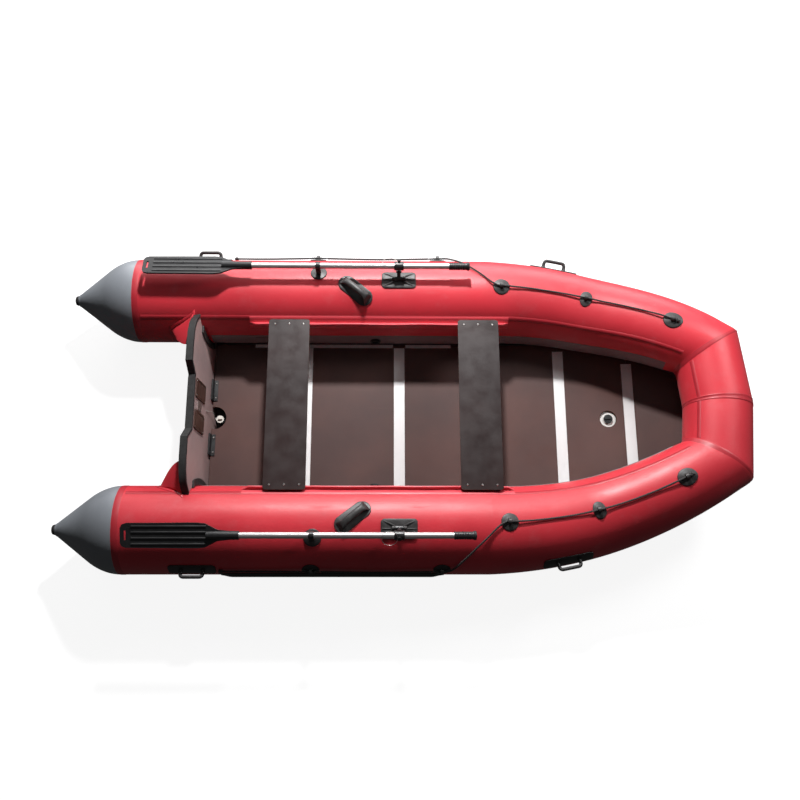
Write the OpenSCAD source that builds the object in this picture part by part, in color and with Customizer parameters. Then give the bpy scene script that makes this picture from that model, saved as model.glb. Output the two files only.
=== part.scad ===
// Inflatable dinghy with a plywood floor, two sliding seats and a pair of stowed oars.
// +X points to the bow, +Y to port and +Z up. The origin is under the middle of the hull.

/* [Hull] */
// Length over the stern cones and the bow
hull_length = 3370; // [3200:10:3500]
// Width across the two side tubes
hull_width = 1600; // [1560:10:1640]
// Diameter of a side tube
tube_d = 420; // [410:2:430]
// Diameter of the bow tube
bow_tube_d = 328; // [300:4:340]
// Length of a stern cone and its cap
cone_length = 335; // [280:5:380]
// Angle that each side tube turns through at the bow
bow_turn = 31.5; // [28:0.5:34]
// Radius of that turn
turn_radius = 2090; // [1900:10:2200]
// Angle by which each half of the bow tube is swept back
bow_sweep = 6; // [2:1:10]
// Height that the bow rises
bow_rise = 120; // [60:5:140]
// Thickness of the coated fabric
skin = 1.2; // [0.9:0.1:2]

/* [Floor and transom] */
// Height of the floor's top
floor_z = 100; // [92:1:106]
// Thickness of a floor board
board_t = 10; // [8:1:12]
// Half the floor's width between the side tubes
floor_half = 396; // [380:1:398]
// Rake of the transom
rake = 8; // [4:1:12]
// Thickness of the transom
transom_t = 28; // [22:1:34]
// Height of the transom's wings
wing_s = 444; // [430:1:456]
// Height of the notch that an outboard motor hangs in
notch_s = 388; // [375:1:400]

/* [Seats] */
// Length of a seat across the boat
seat_len = 856; // [830:2:858]
// Width of a seat
seat_w = 200; // [160:5:220]
// Thickness of a seat
seat_t = 12; // [10:1:16]
// Position of the aft seat's middle
seat_aft_x = -573; // [-640:1:-540]
// Position of the forward seat's middle
seat_fwd_x = 358; // [330:1:400]

/* [Oars] */
// Diameter of an oar's shaft
shaft_d = 29; // [25:1:32]
// Width of an oar's blade
blade_w = 116; // [100:2:124]
// Tilt of the oarlock's stud from upright, outboard
stud_tilt = 40; // [35:1:42]
// Diameter of the grab line
line_d = 10; // [8:1:11]

/* [Hidden] */
$fn = 64;
eps = 0.01;

// Hull centreline: straight, then an arc, then a mitre to the swept bow tube
tube_r = tube_d / 2;
bow_r = bow_tube_d / 2;
tube_y = hull_width / 2 - tube_r;
tube_z = tube_r;
stern_x = -hull_length / 2;
cone_x = stern_x + cone_length;
corner_y = tube_y - turn_radius * (1 - cos(bow_turn));
bow_x = hull_length / 2 - bow_r / cos(bow_sweep);
corner_x = bow_x - corner_y * tan(bow_sweep);
turn_x = corner_x - turn_radius * sin(bow_turn);
bow_z = tube_z + bow_rise;
rise_x = corner_x - 640;
ring_n = 40;
quarter_rings = [8, 6];
cap_len = 18;
cap_r = 24;

// Floor
joint_x = [-500, -28, 394, 793, 1146];
joiner_w = 55;
joiner_t = 1.8;
floor_aft_x = -974;
floor_fwd_x = 1404;
keel_r = 41;
keel_z = 45;
keel_ends = [-873, 1075];
keel_rise_x = 1080;
bow_board_x = 1178;
bow_board_rise = 40;
keel_valve_x = 1036;
valve_hole_r = 43;
drain_x = -938;
guard_t = 2.5;

// Transom, in its own plane: x aft of the front face, y across, z up along the rake
transom_x = -964;
motor_pad_t = 6;

// Seats and rails
rail_angle = 38;
bead_r = 5;
bead_off = 18;
bead_y = tube_y - (tube_r + bead_off) * cos(rail_angle);
bead_z = tube_z + (tube_r + bead_off) * sin(rail_angle);
rail_x = [-772, 520];
seat_z = bead_z + 8;
shoe_gap = 0.5;

// Oars: the bar is fixed to the base, the stud turns on the bar, the oar turns on the stud
oarlock_x = -34;
bar_y = tube_y + 31;
bar_z = tube_z + 226;
bar_r = 5;
stud_len = 66;
stud_r = 5;
fit_gap = 0.05;
oar_y = bar_y + stud_len * sin(stud_tilt);
oar_z = bar_z + stud_len * cos(stud_tilt);
shaft_ends = [-800, 300];
blade_ends = [-1285, -753];
grip_ends = [212, 310];
clip_x = -431;
keeper_r = 19;

// Valves in the side tubes
tube_valve_x = -150;

// Eye pads: position along the hull, and angle up from the outer side of the tube
pad_spots = [[1323, 90], [911, 90], [475, 90], [167, 20], [-444, 20]];
pad_r = 41;
eye_h = 14;

// Port grab line, from the foremost eye pad to the stern handle: position along the hull, angle
// round the tube from its inner side, and height above the skin
line_stops = [[1351, 90, 14], [1337, 90, 14], [1309, 90, 14], [1270, 90, 13], [1190, 90, 9],
    [1100, 90, 9], [1010, 90, 9.5], [961, 90, 13], [925, 90, 15.2], [897, 90, 15.2], [861, 90, 13],
    [760, 90, 8.5], [620, 90, 8.5], [527, 90, 12.5], [489, 90, 14], [461, 90, 14], [425, 95, 12.5],
    [375, 108, 9], [325, 121, 9], [275, 136, 9], [220, 154, 12.5], [181, 160, 14], [153, 160, 14],
    [115, 160, 12.5], [-140, 163, 10], [-392, 160, 12.5], [-430, 160, 14], [-458, 160, 14],
    [-496, 160, 12.5], [-690, 161, 9], [-872, 161, 9]];

// Route of the drain plug's cord, from the transom down to the plug
cord_route = [[-988.4, 10, 190], [-985, 13, 172], [-976, 18, 150], [-968, 20, 120],
    [-965, 14, 98], [-963.5, 6, 84], [-962, 0, 76]];

// ---- Helpers ----

module both_sides() {
    children();
    mirror([0, 1, 0]) children();
}

module along_x(x0, x1, y, z, r, n = 96) {
    translate([x0, y, z]) rotate([0, 90, 0]) cylinder(r = r, h = x1 - x0, $fn = n);
}

// A flat outline drawn in Y and Z, extruded along X
module extrude_x(x0, x1) {
    translate([x0, 0, 0]) rotate([90, 0, 90]) linear_extrude(x1 - x0) children();
}

// Moves from the transom's own plane to the raked one
module on_transom() {
    translate([transom_x, 0, 0]) rotate([0, -rake, 0]) children();
}

module rounded_box(size, r) {
    linear_extrude(size[2]) rounded_rect(size[0], size[1], r);
}

module rounded_rect(a, b, r) {
    square([a - 2 * r, b], center = true);
    square([a, b - 2 * r], center = true);
    for (i = [-1, 1], j = [-1, 1]) translate([i * (a / 2 - r), j * (b / 2 - r)]) circle(r, $fn = 32);
}

function clamp01(t) = min(1, max(0, t));
function smooth01(t) = 3 * t * t - 2 * t * t * t;
// Slope of the skin where the tube tapers
function taper_at(x) = x > turn_x ? atan((tube_r - bow_r) * 180 / (turn_radius * bow_turn * PI)) : 0;
function rise_at(x) = bow_rise * smooth01(clamp01((x - rise_x) / (corner_x - rise_x)));
function turn_at(x) = asin(clamp01((x - turn_x) / turn_radius));
function tube_centre(x) = [x, tube_y - turn_radius * (1 - cos(turn_at(x))), tube_z + rise_at(x)];
function tube_radius(x) = tube_r + (bow_r - tube_r) * turn_at(x) / bow_turn;
function unit(v) = v / norm(v);
function tangent(x) = let (a = turn_at(x), d = 2)
    unit([cos(a), -sin(a), (rise_at(x + d) - rise_at(x - d)) / (2 * d) * cos(a)]);
mitre_n = unit([cos(bow_turn), -sin(bow_turn), 0] + [sin(bow_sweep), -cos(bow_sweep), 0]);

// Point on the hull tube: angle 0 is inboard, 90 on top, 180 outboard
function hull_point(x, angle, grow = 0) =
    let (d = tangent(x), s = unit(cross(d, [0, 0, 1])), u = cross(s, d),
        q = (tube_radius(x) + grow) * (cos(angle) * s + sin(angle) * u),
        t = x > corner_x - eps ? -(q * mitre_n) / (d * mitre_n) : 0)
    tube_centre(x) + q + t * d;

function quad(a, b, c, d) = [[a, b, c], [a, c, d]];
function flat(lists) = [for (l = lists) each l];

// Closed wall between an outer and an inner grid of points, each rows by cols.
// Its columns close round on themselves where round is true.
module wall(outer, inner, round) {
    rows = len(outer);
    cols = len(outer[0]);
    base = rows * cols;
    last = round ? cols - 1 : cols - 2;
    function id(i, k) = i * cols + k % cols;
    faces = flat(concat(
        [for (i = [0:rows - 2], k = [0:last])
            quad(id(i, k), id(i, k + 1), id(i + 1, k + 1), id(i + 1, k))],
        [for (i = [0:rows - 2], k = [0:last])
            quad(base + id(i, k), base + id(i + 1, k), base + id(i + 1, k + 1), base + id(i, k + 1))],
        [for (k = [0:last]) quad(id(0, k), base + id(0, k), base + id(0, k + 1), id(0, k + 1))],
        [for (k = [0:last]) quad(id(rows - 1, k), id(rows - 1, k + 1),
            base + id(rows - 1, k + 1), base + id(rows - 1, k))],
        round ? [] : [for (i = [0:rows - 2]) quad(id(i, 0), id(i + 1, 0),
            base + id(i + 1, 0), base + id(i, 0))],
        round ? [] : [for (i = [0:rows - 2]) quad(id(i, cols - 1), base + id(i, cols - 1),
            base + id(i + 1, cols - 1), id(i + 1, cols - 1))]));
    polyhedron(points = concat(flat(outer), flat(inner)), faces = faces);
}

// Round bar swept along a route, with rings at even steps along each leg
function leg_points(route, step) = [for (i = [0:len(route) - 2])
    let (n = max(1, round(norm(route[i + 1] - route[i]) / step)))
    each [for (j = [0:n - 1]) route[i] + (route[i + 1] - route[i]) * j / n]];
module swept_bar(route, d, step, sides = 8) {
    pts = concat(leg_points(route, step), [route[len(route) - 1]]);
    n = len(pts);
    dir = [for (i = [0:n - 1]) unit(pts[min(i + 1, n - 1)] - pts[max(i - 1, 0)])];
    rings = [for (i = [0:n - 1]) let (s = unit(cross(dir[i], [0.1, 0.2, 1])), u = cross(s, dir[i]))
        for (k = [0:sides - 1]) pts[i] + d / 2 * (cos(360 * k / sides) * s + sin(360 * k / sides) * u)];
    sides_f = flat([for (i = [0:n - 2], k = [0:sides - 1])
        quad(i * sides + k, i * sides + (k + 1) % sides,
            (i + 1) * sides + (k + 1) % sides, (i + 1) * sides + k)]);
    ends = [[for (k = [sides - 1:-1:0]) k], [for (k = [0:sides - 1]) (n - 1) * sides + k]];
    polyhedron(points = rings, faces = concat(sides_f, ends));
}

// Follows the straight tube's skin, between two heights above it, within an outline
module on_skin(low, high) {
    intersection() {
        children();
        difference() {
            along_x(cone_x, turn_x + 300, tube_y, tube_z, tube_r + high, 128);
            along_x(cone_x - 1, turn_x + 301, tube_y, tube_z, tube_r + low, 128);
        }
    }
}

// ---- Air tubes ----

module side_tube() {
    color("crimson") difference() {
        along_x(cone_x, turn_x, tube_y, tube_z, tube_r, 128);
        along_x(cone_x - 1, turn_x + 1, tube_y, tube_z, tube_r - skin, 128);
        translate([tube_valve_x, tube_y, tube_z]) rotate([90, 0, 0]) cylinder(r = 22, h = tube_r + 5);
    }
}
module side_tube_port() { side_tube(); }
module side_tube_stbd() { mirror([0, 1, 0]) side_tube(); }

// Cone's radius, straight from the cap up to the knee and rounded from there to the tube
cone_slope = 0.765;
knee = 180;
knee_r = cap_r + knee * cone_slope;
function cone_r(t) = knee_r * pow(1 - t, 3) + 3 * (knee_r + 31.5) * t * pow(1 - t, 2)
    + 3 * (tube_r - 1) * t * t * (1 - t) + tube_r * pow(t, 3);
module stern_cones() {
    len_c = cone_length - cap_len;
    bow_side = [for (k = [0:8]) [cone_r(1 - k / 8), (len_c - knee) * k / 8]];
    color("dimgray") both_sides() translate([cone_x, tube_y, tube_z]) rotate([0, -90, 0])
        rotate_extrude($fn = 128) polygon(concat(bow_side, [[cap_r, len_c], [cap_r - 6, len_c]],
            [for (k = [8:-1:0]) bow_side[k] - [skin + 0.6, 0]]));
}

module cone_caps() {
    color("black") both_sides() translate([stern_x + cap_len, tube_y, tube_z]) rotate([0, -90, 0])
        rotate_extrude() {
            square([cap_r, cap_len - 10]);
            translate([0, cap_len - 10]) intersection() {
                scale([cap_r / 10, 1]) circle(10);
                square([cap_r, 10]);
            }
        }
}

module quarter(x0, x1, rings) {
    xs = [for (i = [0:rings]) x0 + (x1 - x0) * i / rings];
    color("crimson") wall(
        [for (x = xs) [for (k = [0:ring_n - 1]) hull_point(x, 360 * k / ring_n)]],
        [for (x = xs) [for (k = [0:ring_n - 1]) hull_point(x, 360 * k / ring_n, -skin)]], true);
}
quarter_mid = turn_x + turn_radius * sin(bow_turn / 2);
module bow_quarter_aft_port() { quarter(turn_x, quarter_mid, quarter_rings[0]); }
module bow_quarter_aft_stbd() { mirror([0, 1, 0]) quarter(turn_x, quarter_mid, quarter_rings[0]); }
module bow_quarter_fwd_port() { quarter(quarter_mid, corner_x, quarter_rings[1]); }
module bow_quarter_fwd_stbd() { mirror([0, 1, 0]) quarter(quarter_mid, corner_x, quarter_rings[1]); }

// Half of the bow tube, cut at the mitre and at the middle
module bow_tube() {
    half = corner_y / cos(bow_sweep);
    mitre_a = atan2(mitre_n[1], mitre_n[0]);
    color("crimson") both_sides() difference() {
        translate([bow_x, 0, bow_z]) rotate([-90, 0, bow_sweep]) translate([0, 0, -100])
            difference() {
                cylinder(r = bow_r, h = half + 300, $fn = 128);
                translate([0, 0, -1]) cylinder(r = bow_r - skin, h = half + 302, $fn = 128);
            }
        translate([bow_x - 400, -500, bow_z - 300]) cube([800, 500, 600]);
        translate([corner_x, corner_y, bow_z]) rotate([0, 0, mitre_a])
            translate([0.5 - 600, -400, -300]) cube([600, 800, 600]);
    }
}

module baffles() {
    color("gainsboro") both_sides() along_x(turn_x - 20, turn_x - 18, tube_y, tube_z, tube_r - skin - 0.5, 96);
}

module inner_bands() {
    xs = concat([floor_aft_x, turn_x], [for (i = [1:16]) turn_x + (corner_x - 105 - turn_x) * i / 16]);
    angles = [for (k = [0:9]) 14 - 70 * k / 9];
    color("dimgray") both_sides() difference() {
        wall([for (x = xs) [for (a = angles) hull_point(x, a, 2)]],
            [for (x = xs) [for (a = angles) hull_point(x, a, 1)]], false);
        at_tube_valve() translate([0, 0, -20]) cylinder(r = 29, h = 40);
    }
}

// ---- Bottom ----

// Half-width between the tubes at a height, and the outline of the V bottom
function gap_at(x, z) = let (c = tube_centre(x), r = tube_radius(x) + 2.5, h = z - c[2])
    c[1] - sqrt(max(0, r * r - h * h));
function bow_lift(x) = bow_board_rise * clamp01((x - bow_board_x) / (floor_fwd_x - bow_board_x));
function board_under(x) = floor_z - board_t + bow_lift(x);
function keel_line(x) = guard_t
    + (board_under(floor_fwd_x) - 8) * pow(clamp01((x - keel_rise_x) / (floor_fwd_x - keel_rise_x)), 1.5);
// Station whose ring passes through x at this angle, refined from a first guess s
function station_for(x, angle, grow, s, n) = n == 0 ? s
    : station_for(x, angle, grow, s + x - hull_point(s, angle, grow)[0], n - 1);
module bottom_skin() {
    xs = concat([transom_x + 4, -400, 200], [for (i = [0:12]) 400 + (floor_fwd_x - 400) * i / 12]);
    function edge(x) = let (a = -38 - 24 * clamp01((x - 700) / (floor_fwd_x - 700)))
        hull_point(station_for(x, a, 3.2, x, 4), a, 3.2);
    function row(x, up) = let (e = edge(x), k = keel_line(x)) [[x, 0, k + up], [x, 0.12 * e[1], k + up],
        [x, edge_y(x) + 1, board_under(x) - 5 + up], [x, e[1], e[2] + up]];
    // The last row closes the front, just under the bow tube
    function front(up) = [for (t = [0, 0.12, 0.85, 1]) [floor_fwd_x + 32 + up, 225 * t, 166]];
    color("dimgray") wall(concat([for (x = xs) row(x, 0)], [front(0)]),
        concat([for (x = xs) row(x, skin)], [front(-skin)]), false);
}
module bottom_skin_port() { bottom_skin(); }
module bottom_skin_stbd() { mirror([0, 1, 0]) bottom_skin(); }

module air_keel() {
    len_k = keel_ends[1] - keel_ends[0];
    color("silver") difference() {
        translate([keel_ends[0], 0, keel_z]) rotate([0, 90, 0]) difference() {
            union() {
                cylinder(r = keel_r, h = len_k);
                sphere(keel_r);
            }
            cylinder(r = keel_r - skin, h = len_k - skin);
            sphere(keel_r - skin);
        }
        translate([keel_valve_x, 0, keel_z]) cylinder(r = 17, h = 60);
    }
}

module keel_guard() {
    color("black") translate([-950, -30, 0]) cube([1780, 60, guard_t]);
}

// Strake along the lower outer side of each tube, with a raised rib
strake_x = [-870, 171];
strake_low = 78;
strake_h = 108;
module rub_strakes() {
    rib_z = tube_z - strake_low + strake_h / 2;
    color("black") both_sides() extrude_x(strake_x[0], strake_x[1]) difference() {
        union() {
            intersection() {
                translate([tube_y, tube_z]) circle(tube_r + 6, $fn = 128);
                translate([tube_y + 100, tube_z - strake_low]) square([200, strake_h]);
            }
            translate([tube_y + tube_r - 8, rib_z - 18]) square([20, 36]);
            for (s = [-18, 18]) translate([tube_y + tube_r + 4, rib_z + s]) circle(8, $fn = 32);
        }
        translate([tube_y, tube_z]) circle(tube_r + 0.3, $fn = 128);
    }
}

module seat_rails() {
    color("indianred") both_sides() extrude_x(rail_x[0], rail_x[1]) translate([tube_y, tube_z])
        rotate(-rail_angle) mirror([1, 0]) {
            intersection() {
                difference() {
                    circle(tube_r + 3.3, $fn = 128);
                    circle(tube_r + 0.3, $fn = 128);
                }
                translate([tube_r - 30, -34]) square([60, 68]);
            }
            translate([tube_r + 2, -1.5]) square([bead_off - 4, 3]);
            translate([tube_r + bead_off, 0]) circle(bead_r);
        }
}

// ---- Floor ----

function edge_y(x) = min(floor_half, gap_at(x, floor_z + bow_lift(x)) - 6, gap_at(x, board_under(x)) - 6,
    tube_centre(x)[1] - tube_radius(x) + 50);
module board_outline(x0, x1) {
    xs = [for (i = [0:6]) x0 + (x1 - x0) * i / 6];
    polygon(concat([for (x = xs) [x, -edge_y(x)]], [for (i = [6:-1:0]) [xs[i], edge_y(xs[i])]]));
}
module floor_board(x0, x1) {
    color("saddlebrown") translate([0, 0, floor_z - board_t]) linear_extrude(board_t)
        difference() {
            board_outline(x0, x1);
            if (x0 < keel_valve_x && x1 > keel_valve_x) translate([keel_valve_x, 0]) circle(valve_hole_r);
            if (x0 < drain_x) translate([drain_x - 24, 0]) circle(58);
        }
}
module floor_board_1() { floor_board(floor_aft_x, joint_x[0] - 1.2); }
module floor_board_2() { floor_board(joint_x[0] + 1.2, joint_x[1] - 1.2); }
module floor_board_3() { floor_board(joint_x[1] + 1.2, joint_x[2] - 1.2); }
module floor_board_4() { floor_board(joint_x[2] + 1.2, joint_x[3] - 1.2); }
module floor_board_5() { floor_board(joint_x[3] + 1.2, joint_x[4] - 1.2); }
// The bow board bends up towards the bow and has rounded front corners
module floor_board_6() {
    x0 = joint_x[4] + 1.2;
    low = floor_z - board_t;
    corner = 40;
    color("saddlebrown") intersection() {
        translate([0, 500, 0]) rotate([90, 0, 0]) linear_extrude(1000)
            polygon([[x0, low], [x0, floor_z], [bow_board_x, floor_z], [floor_fwd_x, floor_z + bow_board_rise],
                [floor_fwd_x, low + bow_board_rise], [bow_board_x, low]]);
        linear_extrude(400) union() {
            board_outline(x0, floor_fwd_x - corner);
            translate([floor_fwd_x - corner, 0]) square([2 * corner, 2 * edge_y(floor_fwd_x) - corner], center = true);
            for (s = [-1, 1]) translate([floor_fwd_x - corner, s * (edge_y(floor_fwd_x) - corner)]) circle(corner);
        }
    }
}

module floor_joiners() {
    color("silver") for (x = joint_x) {
        half = edge_y(x + joiner_w / 2) - 17;
        for (z = [floor_z, floor_z - board_t - joiner_t])
            translate([x - joiner_w / 2, -half, z]) cube([joiner_w, 2 * half, joiner_t]);
        translate([x - 1, -half, floor_z - board_t - 0.5]) cube([2, 2 * half, board_t + 1]);
    }
}

module floor_stringers() {
    t = 1.6;
    color("silver") both_sides() for (span = [[-772, -60], [4, 240]])
        extrude_x(span[0], span[1]) difference() {
            translate([floor_half - 16, floor_z - board_t - t]) square([16 + t, board_t + 2 * t]);
            translate([floor_half - 17, floor_z - board_t]) square([17, board_t]);
        }
}

// ---- Transom ----

module transom_outline(grow = 0) {
    half = [[40, 10 - grow], [400, 78 - grow], [470, 92 - grow], [470, 366 + grow], [442, 376 + grow],
        [404, 416 + grow], [350, 438 + grow], [284 + grow / 2, wing_s + grow], [193 - grow, wing_s + grow],
        [139 - grow, notch_s + grow]];
    n = len(half);
    polygon(concat(half, [for (i = [n - 1:-1:0]) [-half[i][0], half[i][1]]]));
}
// Slab of an outline drawn across the transom, between two distances aft of its front face
module transom_slab(aft0, aft1) {
    translate([-aft1, 0, 0]) rotate([90, 0, 90]) linear_extrude(aft1 - aft0) children();
}
module clear_of_tubes(gap) {
    difference() {
        children();
        both_sides() along_x(-1300, -800, tube_y, tube_z, tube_r + gap, 128);
    }
}

module transom() {
    color("dimgray") clear_of_tubes(2.2) on_transom() transom_slab(0, transom_t) transom_outline();
}

module transom_trim() {
    color("black") clear_of_tubes(2.2) on_transom() difference() {
        transom_slab(-3, transom_t + 3) difference() {
            transom_outline(4);
            translate([0, -10]) transom_outline();
            translate([-500, 0]) square([1000, 330]);
        }
        transom_slab(0, transom_t) transom_outline();
    }
}

module motor_plate() {
    color("dimgray") on_transom() transom_slab(transom_t, transom_t + 9) difference() {
        translate([0, notch_s - 110]) rounded_rect(272, 200, 14);
        for (i = [-1, 1], j = [-1, 1]) translate([i * 60, notch_s - 110 + j * 60]) circle(8.6);
    }
}

module motor_pad() {
    color("saddlebrown") on_transom() for (s = [-1, 1])
        transom_slab(-motor_pad_t, 0) translate([s * 78, notch_s - 92]) difference() {
            rounded_rect(96, 140, 8);
            for (i = [-1, 1], j = [-1, 1]) translate([i * 38, j * 60]) circle(2.6, $fn = 24);
        }
}

module transom_flanges() {
    color("black") clear_of_tubes(2.6) both_sides() on_transom() transom_slab(-9, -0.2) intersection() {
        translate([tube_y - 26, tube_z + 6]) circle(tube_r + 10, $fn = 128);
        translate([tube_y - 260, 130]) square([190, 198]);
    }
}

module transom_gussets() {
    aft = transom_x - 240 * tan(rake) - transom_t - 12;
    color("crimson") clear_of_tubes(0.4) both_sides() translate([0, 0, 150]) linear_extrude(150)
        polygon([[aft, tube_y - tube_r - 70], [aft, tube_y - 100], [aft - 130, tube_y - 100],
            [aft - 130, tube_y - tube_r - 2]]);
}

module screw_head(r) {
    rotate([0, 90, 0]) difference() {
        cylinder(r1 = r, r2 = r * 0.7, h = r * 0.45, $fn = 24);
        translate([0, 0, r * 0.45 - 0.9]) cylinder(r = r * 0.35, h = 2, $fn = 6);
    }
}
bracket_y = 143;
bracket_len = 110;
module transom_hardware() {
    color("silver") {
        on_transom() {
            transom_slab(-3, -0.1) translate([0, notch_s - 92]) rounded_rect(44, 52, 4);
            for (s = [-1, 1], i = [-1, 1], j = [-1, 1])
                translate([0.1, s * 78 + i * 38, notch_s - 92 + j * 60]) rotate([0, 90, 0])
                    cylinder(r = 2.5, h = motor_pad_t + 1.5, $fn = 24);
            for (i = [-1, 1], j = [-1, 1]) translate([-transom_t - 0.1, i * 60, notch_s - 110 + j * 60])
                rotate([0, -90, 0]) cylinder(r = 8, h = 7, $fn = 24);
        }
        for (s = [-1, 1], i = [-1, 1]) translate([bracket_foot_x + 17, s * bracket_y + i * 38, floor_z + 4.8])
            rotate([0, -90, 0]) screw_head(5);
    }
}

bracket_foot_x = transom_x - floor_z * tan(rake);
module floor_brackets() {
    color("black") both_sides() translate([0, bracket_y + bracket_len / 2, 0]) rotate([90, 0, 0])
        linear_extrude(bracket_len) polygon([[bracket_foot_x + 1, floor_z + 0.1], [bracket_foot_x + 26, floor_z + 0.1],
            [bracket_foot_x + 26, floor_z + 4], [bracket_foot_x + 8, floor_z + 5],
            [bracket_foot_x + 8 - 34 * tan(rake), floor_z + 34], [bracket_foot_x + 1 - 33 * tan(rake), floor_z + 34]]);
}

// ---- Drain ----

module drain_valve() {
    color("black") translate([drain_x, 0, guard_t + skin + 0.3]) difference() {
        union() {
            cylinder(r = 25, h = 4);
            cylinder(r = 19, h = 66);
            translate([0, 0, 62]) cylinder(r = 24, h = 5);
        }
        translate([0, 0, -1]) cylinder(r = 14, h = 80);
    }
}
drain_top = guard_t + skin + 0.3 + 67;
module drain_plug() {
    color("whitesmoke") translate([drain_x, 0, drain_top]) {
        translate([0, 0, 0.1]) cylinder(r = 19, h = 6);
        translate([0, 0, -15]) cylinder(r = 14 - fit_gap, h = 16);
        translate([0, 0, 5]) rotate([90, 0, 0]) translate([0, 4, -2.5]) rounded_box([22, 12, 5], 4);
        translate([-22, -3, 2]) cube([6, 6, 4]);
    }
}
module drain_cord() {
    color("white") swept_bar(cord_route, 3, 8);
}

// ---- Valves ----

// Pale collar in the board's round opening, with the valve's barrel down into the keel
keel_valve_r = 12;
module keel_valve() {
    color("gainsboro") translate([keel_valve_x, 0, 0]) rotate_extrude() {
        translate([keel_valve_r, keel_z + keel_r + 0.2]) square([valve_hole_r - keel_valve_r - 2, 3]);
        translate([keel_valve_r, keel_z + keel_r - 18]) square([4, 26]);
        translate([keel_valve_r, keel_z + keel_r + 3]) square([12, 5]);
    }
}
keel_cap_z = keel_z + keel_r + 8.2;
module keel_valve_cap() {
    color("black") translate([keel_valve_x, 0, keel_cap_z]) {
        cylinder(r = 23, h = 5);
        translate([-17, -3, 5 - eps]) cube([34, 6, 5]);
        translate([0, 0, -12]) cylinder(r = keel_valve_r - fit_gap, h = 12 + eps);
    }
}

module at_tube_valve() {
    translate([tube_valve_x, tube_y - tube_r, tube_z]) rotate([90, 0, 0]) children();
}
module tube_valve() {
    at_tube_valve() rotate_extrude() {
        translate([14, 2.2]) square([13, 3]);
        translate([14, -24]) square([6, 27]);
        translate([14, -26]) square([9, 3]);
    }
}
module tube_valves() { color("black") both_sides() tube_valve(); }
module tube_valve_cap() {
    color("black") at_tube_valve() {
        translate([0, 0, 5.4]) cylinder(r = 23, h = 5);
        translate([-14, -3, 10]) cube([28, 6, 6]);
        translate([0, 0, -6]) cylinder(r = 14 - fit_gap, h = 12);
    }
}
module tube_valve_cap_port() { tube_valve_cap(); }
module tube_valve_cap_stbd() { mirror([0, 1, 0]) tube_valve_cap(); }

// ---- Seats ----

module seat(x) {
    color("dimgray") translate([x, 0, seat_z]) rounded_box([seat_w, seat_len, seat_t], 14);
}
module seat_shoes(x) {
    color("black") both_sides() extrude_x(x - seat_w / 2 + 6, x + seat_w / 2 - 6) difference() {
        translate([bead_y - 13, bead_z - 9]) square([25, 17]);
        translate([bead_y, bead_z]) circle(bead_r + shoe_gap);
        translate([bead_y, bead_z]) rotate(-rail_angle) translate([0, -2.5]) square([30, 5]);
        translate([tube_y, tube_z]) circle(tube_r + 5, $fn = 128);
    }
}
module seat_screws(x) {
    color("silver") for (s = [-1, 1], k = [-1, 0, 1])
        translate([x + k * 70, s * (bead_y - 6), seat_z + seat_t + 0.1]) rotate([0, -90, 0]) screw_head(5);
}
module seat_aft() { seat(seat_aft_x); }
module seat_fwd() { seat(seat_fwd_x); }
module seat_shoes_aft() { seat_shoes(seat_aft_x); }
module seat_shoes_fwd() { seat_shoes(seat_fwd_x); }
module seat_screws_aft() { seat_screws(seat_aft_x); }
module seat_screws_fwd() { seat_screws(seat_fwd_x); }

// ---- Oarlocks and oars ----

module oarlock_bases() {
    color("black") both_sides() {
        on_skin(0.4, 6) translate([oarlock_x, bar_y, tube_z]) rounded_box([170, 92, 400], 18);
        difference() {
            on_skin(0.4, 12) translate([oarlock_x, bar_y, tube_z]) linear_extrude(400)
                for (s = [-1, 1]) rotate(s * 26) square([150, 7], center = true);
            along_x(oarlock_x - 19.6, oarlock_x + 19.6, bar_y, bar_z, 12, 48);
        }
        for (s = [-1, 1]) translate([oarlock_x + s * 27 - 7, bar_y, 0]) difference() {
            union() {
                translate([0, -10, bar_z - 22]) cube([14, 20, 22]);
                along_x(0, 14, 0, bar_z, 10, 48);
            }
            along_x(-8, 30, tube_y - bar_y, tube_z, tube_r + 0.4, 128);
        }
        along_x(oarlock_x - 30, oarlock_x + 30, bar_y, bar_z, bar_r, 48);
    }
}

module at_stud() {
    translate([oarlock_x, bar_y, bar_z]) rotate([-stud_tilt, 0, 0]) children();
}
module oarlock_swivel() {
    color("black") {
        difference() {
            union() {
                along_x(oarlock_x - 18, oarlock_x + 18, bar_y, bar_z, 11, 48);
                at_stud() cylinder(r = 9, h = 38);
                at_stud() translate([0, 0, 34]) cylinder(r = 14, h = 6);
            }
            along_x(oarlock_x - 20, oarlock_x + 20, bar_y, bar_z, bar_r + fit_gap, 48);
        }
        at_stud() translate([0, 0, 36]) cylinder(r = stud_r, h = stud_len - 36 + 34);
        at_stud() translate([0, 0, stud_len + 27]) cylinder(r = 9, h = 6);
    }
}
module oarlock_swivel_port() { oarlock_swivel(); }
module oarlock_swivel_stbd() { mirror([0, 1, 0]) oarlock_swivel(); }

module stud_bore(gap) {
    at_stud() cylinder(r = stud_r + gap, h = 140);
}
module oar_shaft() {
    color("silver") difference() {
        along_x(shaft_ends[0], shaft_ends[1], oar_y, oar_z, shaft_d / 2, 48);
        along_x(shaft_ends[0] - 1, shaft_ends[1] + 1, oar_y, oar_z, shaft_d / 2 - 1.6, 48);
        stud_bore(0.5);
    }
}
module oar_shaft_port() { oar_shaft(); }
module oar_shaft_stbd() { mirror([0, 1, 0]) oar_shaft(); }

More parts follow.
